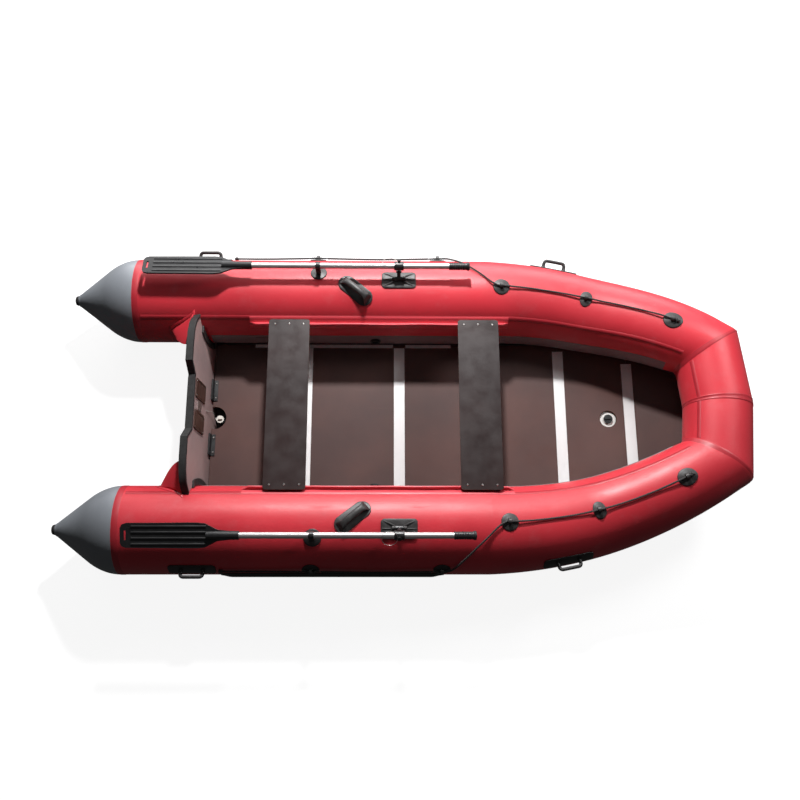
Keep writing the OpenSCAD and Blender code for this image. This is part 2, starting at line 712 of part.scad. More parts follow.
blade_roll = 20;
module blade_outline() {
    tip = blade_ends[0];
    polygon([[-800, -20], [-800, 20], [-850, 26], [-905, blade_w / 2 - 4], [-940, blade_w / 2],
        [tip + 26, blade_w / 2 - 2], [tip + 8, blade_w / 2 - 9], [tip, blade_w / 2 - 24],
        [tip, -blade_w / 2 + 24], [tip + 8, -blade_w / 2 + 9], [tip + 26, -blade_w / 2 + 2],
        [-940, -blade_w / 2], [-905, -blade_w / 2 + 4], [-850, -26]]);
}
module oar_blade() {
    color("black") translate([0, oar_y, oar_z]) rotate([-blade_roll, 0, 0]) difference() {
        union() {
            translate([0, 0, -4]) linear_extrude(8) difference() {
                blade_outline();
                translate([blade_ends[0] + 22, 0]) square([9, 44], center = true);
            }
            for (y = [-40, -13.3, 13.3, 40]) along_x(blade_ends[0] + 50, -900, y, 0, 7.5, 32);
            along_x(-900, blade_ends[1], 0, 0, 20, 48);
        }
        along_x(-812, blade_ends[1] + 1, 0, 0, shaft_d / 2, 48);
    }
}
module oar_blade_port() { oar_blade(); }
module oar_blade_stbd() { mirror([0, 1, 0]) oar_blade(); }

// Hand grip, the collar that turns on the stud, and the keeper ring over the clip pad
module oar_fittings() {
    color("black") {
        difference() {
            union() {
                along_x(grip_ends[0], grip_ends[1], oar_y, oar_z, 18.5, 48);
                along_x(grip_ends[1] - 10, grip_ends[1] + 4, oar_y, oar_z, 21, 48);
            }
            along_x(grip_ends[0] - 1, shaft_ends[1], oar_y, oar_z, shaft_d / 2, 48);
        }
        difference() {
            along_x(oarlock_x - 24, oarlock_x + 24, oar_y, oar_z, 22, 48);
            along_x(oarlock_x - 25, oarlock_x + 25, oar_y, oar_z, shaft_d / 2, 48);
            stud_bore(fit_gap);
        }
        difference() {
            along_x(clip_x - 12, clip_x + 12, oar_y, oar_z, keeper_r, 48);
            along_x(clip_x - 13, clip_x + 13, oar_y, oar_z, shaft_d / 2, 48);
        }
    }
}
module oar_fittings_port() { oar_fittings(); }
module oar_fittings_stbd() { mirror([0, 1, 0]) oar_fittings(); }

// ---- Handles, pads and lines ----

handle_x = [-994, 732];
handle_up = 20;
module d_handle(r) {
    difference() {
        translate([0, 0, -12]) rounded_box([220, 74, 18], 18);
        translate([-130, 0, -r]) rotate([0, 90, 0]) cylinder(r = r + 0.9, h = 260, $fn = 128);
    }
    for (s = [-1, 1]) translate([s * 52, 0, 3]) cylinder(r = 9, h = 36, $fn = 32);
    translate([-52, 0, 39]) rotate([0, 90, 0]) cylinder(r = 9, h = 104, $fn = 32);
    for (s = [-1, 1]) translate([s * 52, 0, 39]) sphere(9, $fn = 32);
}
module d_handles() {
    color("black") both_sides() for (x = handle_x) on_hull(x, handle_up) d_handle(tube_radius(x));
}

grip_spot = [-248, 565];
grip_turn = -40;
module oval_grips() {
    bar = 62;
    bar_up = 30;
    color("black") both_sides() {
        on_skin(0.4, 6) translate([grip_spot[0], grip_spot[1], tube_z]) rotate([0, 0, grip_turn])
            rounded_box([195, 84, 400], 41.9);
        difference() {
            translate([grip_spot[0], grip_spot[1], tube_z + tube_r]) rotate([0, 0, grip_turn]) {
                translate([-bar, 0, bar_up]) rotate([0, 90, 0]) cylinder(r = 11, h = 2 * bar, $fn = 32);
                for (s = [-1, 1]) translate([s * bar, 0, bar_up]) sphere(11, $fn = 32);
                for (s = [-1, 1]) translate([s * bar, 0, -2]) cylinder(r = 11, h = bar_up + 2, $fn = 32);
            }
            along_x(grip_spot[0] - 80, grip_spot[0] + 80, tube_y, tube_z, tube_r + 0.4, 128);
        }
    }
}

// Depth by which the rising hull curves up under a pad
function hollow_under(x) = let (d = 1.4 * pad_r) max(0, rise_at(x + d) + rise_at(x - d) - 2 * rise_at(x)) / 2;
// Moves to a spot on the hull, at an angle up from the outer side, +Z out from the skin
module on_hull(x, up) {
    a = turn_at(x);
    c = tube_centre(x);
    slope = (rise_at(x + 2) - rise_at(x - 2)) / 4;
    translate(hull_point(x, 180 - up)) rotate([0, 0, -a]) rotate([0, -atan(slope), 0])
        rotate([up - 90, 0, 0]) rotate([0, taper_at(x), 0]) children();
}
module eye_pad(r, hole = 6.2) {
    difference() {
        translate([0, 0, -6]) cylinder(r = pad_r, h = 11, $fn = 48);
        translate([-60, 0, -r]) rotate([0, 90, 0]) cylinder(r = r + 0.5, h = 120, $fn = 128);
    }
    difference() {
        union() {
            translate([-8, -14, 1.5]) cube([16, 28, eye_h - 1.5]);
            translate([-8, 0, eye_h]) rotate([0, 90, 0]) cylinder(r = 14, h = 16, $fn = 48);
        }
        translate([-9, 0, eye_h]) rotate([0, 90, 0]) cylinder(r = hole, h = 18, $fn = 32);
    }
}
// Round pad with a post whose sloping top cradles the keeper ring of the stowed oar
module clip_pad() {
    post = 24;
    on_skin(0.4, 6) translate([clip_x, oar_y - 3, tube_z]) cylinder(r = pad_r, h = 400);
    difference() {
        translate([clip_x - 13, oar_y - 3 - post / 2, tube_z + tube_r - 20]) cube([26, post, 100]);
        translate([clip_x - 50, oar_y, oar_z]) rotate([-stud_tilt, 0, 0]) translate([0, -100, -keeper_r - 0.4])
            cube([100, 200, 200]);
        along_x(clip_x - 50, clip_x + 50, tube_y, tube_z, tube_r + 0.4, 128);
    }
}
module eye_pads() {
    color("black") both_sides() {
        for (s = pad_spots) on_hull(s[0], s[1]) translate([0, 0, hollow_under(s[0])])
            eye_pad(tube_radius(s[0]));
        clip_pad();
    }
}

module grab_lines() {
    color("black") both_sides()
        swept_bar([for (s = line_stops) hull_point(s[0], s[1], s[2])], line_d, 36);
}

side_tube_port();
side_tube_stbd();
stern_cones();
cone_caps();
bow_quarter_aft_port();
bow_quarter_aft_stbd();
bow_quarter_fwd_port();
bow_quarter_fwd_stbd();
bow_tube();
baffles();
inner_bands();
bottom_skin_port();
bottom_skin_stbd();
air_keel();
keel_guard();
rub_strakes();
seat_rails();
floor_board_1();
floor_board_2();
floor_board_3();
floor_board_4();
floor_board_5();
floor_board_6();
floor_joiners();
floor_stringers();
transom();
transom_trim();
motor_plate();
motor_pad();
transom_flanges();
transom_gussets();
transom_hardware();
floor_brackets();
drain_valve();
drain_plug();
drain_cord();
keel_valve();
keel_valve_cap();
tube_valves();
tube_valve_cap_port();
tube_valve_cap_stbd();
seat_aft();
seat_fwd();
seat_shoes_aft();
seat_shoes_fwd();
seat_screws_aft();
seat_screws_fwd();
oarlock_bases();
oarlock_swivel_port();
oarlock_swivel_stbd();
oar_shaft_port();
oar_shaft_stbd();
oar_blade_port();
oar_blade_stbd();
oar_fittings_port();
oar_fittings_stbd();
d_handles();
oval_grips();
eye_pads();
grab_lines();
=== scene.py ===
"""Looks for the inflatable dinghy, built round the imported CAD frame. Metres, +X to the bow, +Y to port, +Z up."""

import math
from functools import lru_cache
from math import cos, pi, radians, sin

import bmesh
import bpy
from mathutils import Matrix, Vector

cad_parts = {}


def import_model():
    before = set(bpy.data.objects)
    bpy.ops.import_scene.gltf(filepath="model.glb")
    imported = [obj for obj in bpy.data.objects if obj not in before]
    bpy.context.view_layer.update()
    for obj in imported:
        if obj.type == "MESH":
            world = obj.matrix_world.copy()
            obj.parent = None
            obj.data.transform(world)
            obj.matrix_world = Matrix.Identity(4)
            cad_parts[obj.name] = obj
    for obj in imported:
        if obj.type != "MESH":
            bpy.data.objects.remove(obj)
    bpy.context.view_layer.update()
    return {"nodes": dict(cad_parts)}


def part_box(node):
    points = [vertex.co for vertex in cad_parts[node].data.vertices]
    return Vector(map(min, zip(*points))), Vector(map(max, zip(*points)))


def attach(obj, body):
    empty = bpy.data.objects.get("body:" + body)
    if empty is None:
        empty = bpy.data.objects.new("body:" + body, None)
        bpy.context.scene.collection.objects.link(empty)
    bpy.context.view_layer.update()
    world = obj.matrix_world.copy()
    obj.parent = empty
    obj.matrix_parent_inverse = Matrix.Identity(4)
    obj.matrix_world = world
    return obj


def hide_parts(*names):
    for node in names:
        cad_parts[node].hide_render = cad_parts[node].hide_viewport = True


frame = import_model()
NODES = frame["nodes"]
SCENE = bpy.context.scene
UP = Vector((0, 0, 1))


# ---- Camera, at the photographed angle ----
def make_camera(place, yaw, down, roll, lens):
    """Camera at place, turned from +Y towards +X by yaw, then down and rolled, all in degrees."""
    yaw, down, roll = (radians(a) for a in (yaw, down, roll))
    ahead = Vector((sin(yaw) * cos(down), cos(yaw) * cos(down), -sin(down)))
    right = Vector((cos(yaw), -sin(yaw), 0))
    up = right.cross(ahead)
    side = right * cos(roll) + up * sin(roll)
    top = up * cos(roll) - right * sin(roll)
    data = bpy.data.cameras.new("camera")
    data.lens = lens
    data.dof.use_dof = False
    cam = bpy.data.objects.new("camera", data)
    turn = Matrix((side, top, -ahead)).transposed().to_4x4()
    cam.matrix_world = Matrix.Translation(place) @ turn
    SCENE.collection.objects.link(cam)
    SCENE.camera = cam


make_camera(place=(-0.101, -1.406, 4.848), yaw=2.93, down=72.408, roll=2.949, lens=43.9)


# ---- Hull shape, the same rules as the CAD source ----
side_lo, side_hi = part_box("side_tube_port")
TUBE_R = (side_hi.z - side_lo.z) / 2
TUBE_Y = (side_hi.y + side_lo.y) / 2
TUBE_Z = (side_hi.z + side_lo.z) / 2
CONE_X, TURN_X = side_lo.x, side_hi.x
STERN_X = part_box("cone_caps")[0].x
TURN, TURN_R = radians(31.5), 2.09  # how far the side tube turns inboard, and the turn's radius
SWEEP = radians(6)  # how far each half of the bow tube points forward
BOW_R = 0.164
RISE, RISE_LEN = 0.12, 0.64  # the bow's lift, and the length over which it lifts
CAP_LEN, CAP_R = 0.018, 0.024
CONE_STRAIGHT, CONE_SLOPE, CONE_KNEE = 0.18, 0.765, 0.0315
CORNER_X = TURN_X + TURN_R * sin(TURN)
CORNER_Y = TUBE_Y - TURN_R * (1 - cos(TURN))
BOW_X = CORNER_X + CORNER_Y * math.tan(SWEEP)
BOW_Z = TUBE_Z + RISE
RISE_X = CORNER_X - RISE_LEN
FILLET = 0.02  # half length of the rounding over the mitre
BLEND = 0.16  # stretch before the mitre over which the rings lean
HALF_BOW = CORNER_Y / cos(SWEEP)
TO_BOW = Vector((cos(TURN), -sin(TURN), 0))
ACROSS = Vector((sin(SWEEP), -cos(SWEEP), 0))
MITRE = (TO_BOW + ACROSS).normalized()


def clamp(t, a=0.0, b=1.0):
    return min(b, max(a, t))


def smooth(t):
    t = clamp(t)
    return t * t * (3 - 2 * t)


def lerp(a, b, t):
    return a + (b - a) * t


def rise_at(x):
    return RISE * smooth((x - RISE_X) / (CORNER_X - RISE_X))


def turn_at(x):
    return math.asin(clamp((x - TURN_X) / TURN_R))


def bezier(a, b, c, d, t):
    return a * (1 - t) ** 3 + b * 3 * t * (1 - t) ** 2 + c * 3 * t * t * (1 - t) + d * t ** 3


def cone_radius(x):
    """Straight from the cap, then rounded over to meet the tube."""
    tip = STERN_X + CAP_LEN
    straight = tip + CONE_STRAIGHT
    if x <= straight:
        return CAP_R + (x - tip) * CONE_SLOPE
    t = (x - straight) / (CONE_X - straight)
    knee = CAP_R + CONE_STRAIGHT * CONE_SLOPE
    return bezier(knee, knee + CONE_KNEE, TUBE_R - 0.001, TUBE_R, t)


@lru_cache(maxsize=None)
def ring_at(x):
    """Centre, radius, and the inboard, upward and forward axes of the port tube at x."""
    a = turn_at(x)
    step = 0.002
    slope = (rise_at(x + step) - rise_at(x - step)) / (2 * step)
    ahead = Vector((cos(a), -sin(a), slope * cos(a))).normalized()
    inboard = ahead.cross(UP).normalized()
    centre = Vector((x, TUBE_Y - TURN_R * (1 - cos(a)), TUBE_Z + rise_at(x)))
    r = cone_radius(x) if x < CONE_X else TUBE_R + (BOW_R - TUBE_R) * a / TURN
    return centre, r, inboard, inboard.cross(ahead), ahead


def corner_point(angle, grow, at_middle):
    """Where the line at this angle round the tube meets the mitre, or the boat's middle."""
    if at_middle:
        ahead, plane, centre = ACROSS, Vector((0, 1, 0)), Vector((BOW_X, 0, BOW_Z))
    else:
        ahead, plane, centre = TO_BOW, MITRE, Vector((CORNER_X, CORNER_Y, BOW_Z))
    q = (ahead.cross(UP) * cos(angle) + UP * sin(angle)) * (BOW_R + grow)
    return centre + q - ahead * (q.dot(plane) / ahead.dot(plane))


@lru_cache(maxsize=None)
def mitre_line(degrees, grow):
    """Ends of one line along the bow tube, and the station at which it leaves the side tube."""
    angle = radians(degrees)
    corner, middle = corner_point(angle, grow, False), corner_point(angle, grow, True)
    leave = CORNER_X
    for _ in range(4):
        leave += corner.x - swept(leave, degrees, grow).x
    return corner, middle, leave


def swept(s, degrees, grow):
    """Point on the side tube, which runs straight on past the corner."""
    c, r, inboard, upward, ahead = ring_at(round(min(s, CORNER_X), 6))
    angle = radians(degrees)
    p = c + (inboard * cos(angle) + upward * sin(angle)) * (r + grow)
    return p + ahead * (max(0.0, s - CORNER_X) / ahead.x)


def hull(s, degrees, grow=0.0):
    """Point on the port tube. s is X up to the corner, then the corner's X plus 0 to 1 along half the bow tube.
    The angle is 0 inboard, 90 on top and 180 outboard. Near the corner the rings lean over to the mitre."""
    beyond = s - CORNER_X
    if beyond <= -BLEND:
        return swept(s, degrees, grow)
    corner, middle, leave = mitre_line(round(degrees, 4), grow)
    start = CORNER_X - BLEND
    off = corner - swept(leave, degrees, grow)
    soft = 1 - FILLET / (leave - start)
    near = FILLET / (middle - corner).length

    def before(t):
        return swept(lerp(start, leave, t), degrees, grow) + off * t * t

    if beyond <= -FILLET:
        return before(soft * (beyond + BLEND) / (BLEND - FILLET))
    if beyond >= FILLET / HALF_BOW:
        return corner.lerp(middle, lerp(near, 1, (beyond - FILLET / HALF_BOW) / (1 - FILLET / HALF_BOW)))
    t = 0.5 + 0.5 * (beyond / FILLET if beyond < 0 else beyond * HALF_BOW / FILLET)
    return before(soft) * (1 - t) ** 2 + corner * 2 * t * (1 - t) + corner.lerp(middle, near) * t * t


def on_hull(x, degrees, along, across, height):
    """Point near a spot on the hull: along it, across it towards the top, and out from its skin."""
    return hull(x + along * cos(turn_at(x)), degrees - math.degrees(across / ring_at(x)[1]), height)


def hull_frame(x, degrees):
    """Matrix at a spot on the hull: X along the tube, Z out from the skin."""
    _, _, inboard, upward, ahead = ring_at(x)
    a = radians(degrees)
    out = inboard * cos(a) + upward * sin(a)
    across = out.cross(ahead)
    m = Matrix((ahead, across, out)).transposed().to_4x4()
    return Matrix.Translation(hull(x, degrees)) @ m


# ---- Mesh building ----
MERGE = 1e-5


def rounded_rect(a, b, r, steps=6):
    r = min(r, a / 2 - 1e-5, b / 2 - 1e-5)
    out = []
    for cx, cy, start in ((1, 1, 0), (-1, 1, 90), (-1, -1, 180), (1, -1, 270)):
        for i in range(steps + 1):
            t = radians(start + 90 * i / steps)
            out.append((cx * (a / 2 - r) + r * cos(t), cy * (b / 2 - r) + r * sin(t)))
    return out


def circle(r, n):
    return [(r * cos(2 * pi * i / n), r * sin(2 * pi * i / n)) for i in range(n)]


def mirrored(half, *middle):
    """Whole outline from its half on the positive side."""
    return [(-a, b) for a, b in reversed(half)] + list(middle) + half


def both_ends(half):
    """Whole profile of (radius, height) from its upper half, outwards from the middle."""
    return [(r, -h) for r, h in reversed(half)] + half


def spline(points, step):
    """Even points on a smooth curve through these ones."""
    pts = [Vector(p) for p in points]
    pts = [pts[0] * 2 - pts[1]] + pts + [pts[-1] * 2 - pts[-2]]
    out = []
    for i in range(1, len(pts) - 2):
        p0, p1, p2, p3 = pts[i - 1:i + 3]
        n = max(1, round((p2 - p1).length / step))
        for k in range(n):
            t = k / n
            out.append(((p1 * 2) + (p2 - p0) * t + (p0 * 2 - p1 * 5 + p2 * 4 - p3) * t * t
                        + (p1 * 3 - p0 - p2 * 3 + p3) * t ** 3) / 2)
    return out + [pts[-2]]


def frames_along(path):
    """Side and up vectors that don't twist along a path."""
    n = len(path)
    ahead = [(path[min(i + 1, n - 1)] - path[max(i - 1, 0)]).normalized() for i in range(n)]
    side = ahead[0].cross(Vector((0.13, 0.21, 0.97))).normalized()
    out = []
    for d in ahead:
        side = (side - d * side.dot(d)).normalized()
        out.append((side, d.cross(side)))
    return out


class Shape:
    """Vertices and faces that become one piece."""

    def __init__(self):
        self.verts = []
        self.faces = []

    def add(self, verts, faces):
        n = len(self.verts)
        self.verts += [Vector(p) for p in verts]
        self.faces += [[i + n for i in f] for f in faces]
        return self

    def loft(self, loops, ring=False):
        """Skin over closed loops, capped unless they form a ring."""
        m, rows = len(loops[0]), len(loops)
        faces = []
        for i in range(rows if ring else rows - 1):
            j = (i + 1) % rows
            faces += [[i * m + k, i * m + (k + 1) % m, j * m + (k + 1) % m, j * m + k] for k in range(m)]
        if not ring:
            faces += [list(range(m))[::-1], [(rows - 1) * m + k for k in range(m)]]
        return self.add([p for loop in loops for p in loop], faces)

    def grid(self, rows):
        """Open sheet through rows of points."""
        m = len(rows[0])
        faces = [[i * m + k, i * m + k + 1, (i + 1) * m + k + 1, (i + 1) * m + k]
                 for i in range(len(rows) - 1) for k in range(m - 1)]
        return self.add([p for row in rows for p in row], faces)

    def revolve(self, profile, place, n):
        """Profile of (radius, height) pairs turned about local Z."""
        loops = [[place @ Vector((r * c, r * s, h)) for c, s in circle(1, n)] for r, h in profile]
        return self.loft(loops)

    def pipe(self, path, r, n):
        """Round bar along a path. r is a radius, or gives it at 0 to 1 along."""
        radius = r if callable(r) else (lambda t: r)
        rings = []
        for i, (p, (s, u)) in enumerate(zip(path, frames_along(path))):
            w = radius(i / (len(path) - 1))
            rings.append([p + (s * a + u * b) * w for a, b in circle(1, n)])
        return self.loft(rings)

    def pad(self, x, degrees, outline, steps):
        """Moulded pad that follows the hull. outline(inset) gives its edge, steps are (inset, height)."""
        return self.loft([[on_hull(x, degrees, a, b, h) for a, b in outline(i)] for i, h in steps])

    def mirror(self):
        """Adds the starboard half."""
        n = len(self.verts)
        self.verts += [Vector((v.x, -v.y, v.z)) for v in self.verts]
        self.faces += [[i + n for i in reversed(f)] for f in self.faces]
        return self

    def both_sides(self):
        """The port shape and a starboard copy, for pieces that stay apart."""
        other = Shape().add([Vector((v.x, -v.y, v.z)) for v in self.verts], [list(reversed(f)) for f in self.faces])
        return ("port", self), ("stbd", other)

    def make(self, name, finish, body="hull", nodes=(), slot=None, sharp=38, bevel=None):
        """The piece itself. Edges above sharp degrees stay crisp, and it replaces the CAD nodes."""
        mesh = bpy.data.meshes.new(name)
        bm = bmesh.new()
        made = [bm.verts.new(v) for v in self.verts]
        for f in self.faces:
            try:
                bm.faces.new([made[i] for i in f])
            except ValueError:
                pass
        bmesh.ops.remove_doubles(bm, verts=bm.verts, dist=MERGE)
        bmesh.ops.recalc_face_normals(bm, faces=bm.faces)
        limit = radians(sharp)
        for f in bm.faces:
            f.smooth = True
        for e in bm.edges:
            e.smooth = len(e.link_faces) != 2 or e.calc_face_angle(0) < limit
        bm.to_mesh(mesh)
        bm.free()
        piece = bpy.data.objects.new(name, mesh)
        SCENE.collection.objects.link(piece)
        mesh.materials.append(finish)
        if bevel:
            add_bevel(piece, *bevel)
        if body:
            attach(piece, body)
        if nodes:
            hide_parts(*nodes)
        return piece


def add_bevel(piece, width, segments=2):
    mod = piece.modifiers.new("rounded edges", "BEVEL")
    mod.width = width
    mod.segments = segments
    mod.limit_method = "ANGLE"
    mod.angle_limit = radians(30)
    mod.use_clamp_overlap = True
    mod.harden_normals = False


def thicken(piece, thickness, offset=-1.0):
    """Gives a sheet its thickness, by default under its drawn side."""
    mod = piece.modifiers.new("cloth thickness", "SOLIDIFY")
    mod.thickness = thickness
    mod.offset = offset


def carry(names, finish, bevel, segments=2):
    """Keeps CAD nodes, with welded and rounded edges and a finish of their own."""
    for name in names:
        piece = NODES[name]
        piece.data.materials.clear()
        piece.data.materials.append(finish)
        weld = piece.modifiers.new("weld", "WELD")
        weld.merge_threshold = 0.00002
        if bevel:
            add_bevel(piece, bevel, segments)
        for poly in piece.data.polygons:
            poly.use_smooth = True
            poly.material_index = 0
        soft = piece.modifiers.new("shading", "WEIGHTED_NORMAL")
        soft.keep_sharp = True


# ---- Materials ----
class Finish:
    """Small helper for node materials. Every finish reads its object's own coordinates,
    which are the shared frame."""

    def __init__(self, name):
        self.mat = bpy.data.materials.new(name)
        self.mat.use_nodes = True
        self.tree = self.mat.node_tree
        self.tree.nodes.clear()
        self.out = self.tree.nodes.new("ShaderNodeOutputMaterial")
        self.shader = self.tree.nodes.new("ShaderNodeBsdfPrincipled")
        self.tree.links.new(self.shader.outputs[0], self.out.inputs[0])
        self.place = self.tree.nodes.new("ShaderNodeTexCoord").outputs["Object"]
        self.normal = self.tree.nodes.new("ShaderNodeNewGeometry").outputs["Normal"]

    def put(self, socket, value):
        if isinstance(value, bpy.types.NodeSocket):
            self.tree.links.new(value, socket)
        else:
            socket.default_value = value

    def node(self, kind, settings=None, **values):
        made = self.tree.nodes.new("ShaderNode" + kind)
        for key, value in (settings or {}).items():
            setattr(made, key, value)
        for key, value in values.items():
            self.put(made.inputs[key.replace("_", " ")], value)
        return made

    def noise(self, scale, detail, stretch=None, rough=0.5, distort=0.0):
        where = self.stretched(stretch) if stretch else self.place
        return self.node("TexNoise", Vector=where, Scale=scale, Detail=detail, Roughness=rough,
                         Distortion=distort).outputs["Fac"]

    def stretched(self, stretch, turn=(0, 0, 0)):
        return self.node("Mapping", Vector=self.place, Scale=stretch, Rotation=turn).outputs[0]

    def bands(self, period, direction="X", distort=0.0, turn=None):
        """Soft stripes that repeat every period metres."""
        where = self.stretched((1, 1, 1), turn) if turn else self.place
        wave = self.node("TexWave", {"bands_direction": direction}, Vector=where, Distortion=distort,
                         Scale=2 * pi / (20 * period))
        wave.inputs["Detail Scale"].default_value = 3.0
        return wave.outputs["Fac"]

    def maths(self, operation, a, b=0.0):
        made = self.node("Math", {"operation": operation})
        self.put(made.inputs[0], a)
        self.put(made.inputs[1], b)
        return made.outputs[0]

    def span(self, value, low, high, to_low=0.0, to_high=1.0):
        """Moves low..high to to_low..to_high, and clamps."""
        made = self.node("MapRange")
        for i, v in enumerate((value, low, high, to_low, to_high)):
            self.put(made.inputs[i], v)
        return made.outputs[0]

    def mix(self, amount, a, b):
        made = self.node("Mix", {"data_type": "RGBA"})
        self.put(made.inputs[0], amount)
        self.put(made.inputs[6], a)
        self.put(made.inputs[7], b)
        return made.outputs[2]

    def part_of_normal(self, axis):
        split = self.node("SeparateXYZ", Vector=self.normal)
        return split.outputs[axis]

    def bump(self, height, depth, strength, under=None):
        made = self.node("Bump", Height=height, Distance=depth, Strength=strength)
        if under:
            self.put(made.inputs["Normal"], under)
        return made.outputs[0]

    def done(self, colour, rough, normal=None, **constants):
        self.put(self.shader.inputs["Base Color"], colour)
        self.put(self.shader.inputs["Roughness"], rough)
        if normal:
            self.put(self.shader.inputs["Normal"], normal)
        for key, value in constants.items():
            self.shader.inputs[key.replace("_", " ")].default_value = value
        return self.mat


def tint(colour, times, plus=0.0):
    return tuple(c * times + plus for c in colour[:3]) + (1.0,)


def coated_fabric(name, colour, rough, weave=0.5, shift=0.12):
    """PVC-coated cloth: the weave shows faintly through the coat, with scuffs and soft wrinkles."""
    f = Finish(name)
    dull = tint(colour, 1 - shift)
    bright = tuple(min(1, c * (1 + shift * 0.6)) for c in colour[:3]) + (1.0,)
    base = f.mix(f.span(f.noise(2.4, 4), 0.35, 0.65), dull, bright)
    dust = f.span(f.noise(11, 6, rough=0.65), 0.56, 0.8, 0, 0.16)
    base = f.mix(dust, base, tint(colour, 0.55, 0.16))
    threads = f.maths("MULTIPLY", f.bands(0.0016), f.bands(0.0016, "Z", turn=(0.6, 0, 0)))
    scuff = f.noise(46, 3, stretch=(0.18, 1, 1))
    shine = f.maths("ADD", f.span(f.noise(6, 4), 0.3, 0.7, rough - 0.05, rough + 0.06),
                    f.span(scuff, 0.55, 0.8, 0, 0.12))
    creases = f.bump(f.noise(5.5, 3, stretch=(1, 0.5, 1), distort=0.6), 0.0022, 0.3)
    pebbles = f.bump(f.noise(420, 2), 0.0002, 0.35, creases)
    return f.done(base, shine, f.bump(threads, 0.00018, weave, pebbles), Specular_IOR_Level=0.5,
                  Sheen_Weight=0.05, Sheen_Roughness=0.4)


def film_ply(name, colour, rough, mesh=0.4, layers=True, spec=0.3):
    """Film-faced plywood: a faint wire-mesh print and blotchy film, with bare veneers along the edges."""
    f = Finish(name)
    dark = tint(colour, 0.82)
    warm = (colour[0] * 1.16, colour[1] * 1.04, colour[2] * 0.98, 1.0)
    base = f.mix(f.span(f.noise(3.1, 5), 0.35, 0.68), dark, warm)
    flecks = f.span(f.noise(160, 3, rough=0.7), 0.62, 0.78, 0, 0.35)
    base = f.mix(flecks, base, (colour[0] * 1.7, colour[1] * 1.5, colour[2] * 1.45, 1.0))
    scratch = f.span(f.noise(30, 5, stretch=(0.05, 1, 1), rough=0.7), 0.63, 0.72, 0, 0.22)
    base = f.mix(scratch, base, tint(colour, 1.9))
    if layers:
        side = f.maths("LESS_THAN", f.maths("ABSOLUTE", f.part_of_normal(2)), 0.45)
        veneers = f.mix(f.span(f.bands(0.0029, "Z", 0.3), 0.3, 0.7), (0.11, 0.055, 0.028, 1), (0.27, 0.16, 0.08, 1))
        fibres = f.noise(220, 4, stretch=(0.15, 0.15, 1.5))
        veneers = f.mix(f.span(fibres, 0.4, 0.7, 0, 0.5), veneers, (0.06, 0.03, 0.018, 1))
        base = f.mix(side, base, veneers)
    wires = f.maths("MAXIMUM", f.bands(0.0034, "X", turn=(0, 0, 0.785)), f.bands(0.0034, "Y", turn=(0, 0, 0.785)))
    shine = f.span(f.noise(14, 5), 0.3, 0.7, rough - 0.04, rough + 0.1)
    dents = f.bump(f.noise(7, 3), 0.0012, 0.25)
    return f.done(base, shine, f.bump(wires, 0.00015, mesh, dents), Specular_IOR_Level=spec)


def wood(name, colour, rough, along):
    """Oiled solid wood with its grain drawn out along one axis."""
    f = Finish(name)
    grain = f.noise(60, 6, stretch=along, rough=0.65, distort=0.8)
    base = f.mix(f.span(grain, 0.3, 0.7), tint(colour, 0.55), colour)
    base = f.mix(f.span(f.noise(9, 3), 0.5, 0.8, 0, 0.4), base, tint(colour, 1.5))
    return f.done(base, f.span(grain, 0.3, 0.7, rough + 0.1, rough - 0.06), f.bump(grain, 0.0006, 0.5))


def brushed(name, colour, rough, along, wear=0.3, metal=1.0):
    """Drawn or extruded metal, with fine lines along its length and dull patches."""
    f = Finish(name)
    lines = f.noise(700, 3, stretch=along, rough=0.6)
    patches = f.noise(13, 5, rough=0.6)
    base = f.mix(f.span(patches, 0.45, 0.75, 0, wear), colour, tint(colour, 0.72))
    base = f.mix(f.span(lines, 0.35, 0.75, 0, 0.25), base, tint(colour, 0.8))
    shine = f.maths("ADD", f.span(lines, 0.3, 0.7, rough - 0.06, rough + 0.08), f.span(patches, 0.5, 0.8, 0, 0.12))
    return f.done(base, shine, f.bump(lines, 0.00006, 0.5), Metallic=metal)


def moulded(name, colour, rough, grain=300, dusty=0.2):
    """Moulded rubber or plastic: fine grain, and faint dust lying on what faces up."""
    f = Finish(name)
    base = f.mix(f.span(f.noise(5, 4), 0.35, 0.7), colour, tint(colour, 1.35))
    upward = f.span(f.part_of_normal(2), 0.5, 1.0, 0, dusty)
    lying = f.maths("MULTIPLY", upward, f.span(f.noise(38, 5, rough=0.7), 0.4, 0.75))
    base = f.mix(lying, base, tint(colour, 0.5, 0.11))
    streak = f.noise(90, 3, stretch=(0.3, 1, 1))
    shine = f.maths("ADD", f.span(f.noise(18, 4), 0.3, 0.7, rough - 0.07, rough + 0.08),
                    f.span(streak, 0.55, 0.8, 0, 0.1))
    return f.done(base, shine, f.bump(f.noise(grain, 3), 0.00012, 0.6), Specular_IOR_Level=0.5)


def twisted(name, colour):
    """Laid fibres of a rope or cord."""
    f = Finish(name)
    fibres = f.noise(900, 2, stretch=(0.35, 1, 1))
    base = f.mix(f.span(fibres, 0.35, 0.7), tint(colour, 0.5),
                 tint(colour, 1.6))
    base = f.mix(f.span(f.noise(35, 4), 0.5, 0.8, 0, 0.3), base, tint(colour, 1, 0.05))
    return f.done(base, 0.62, f.bump(fibres, 0.0003, 0.7), Sheen_Weight=0.25, Sheen_Roughness=0.5)


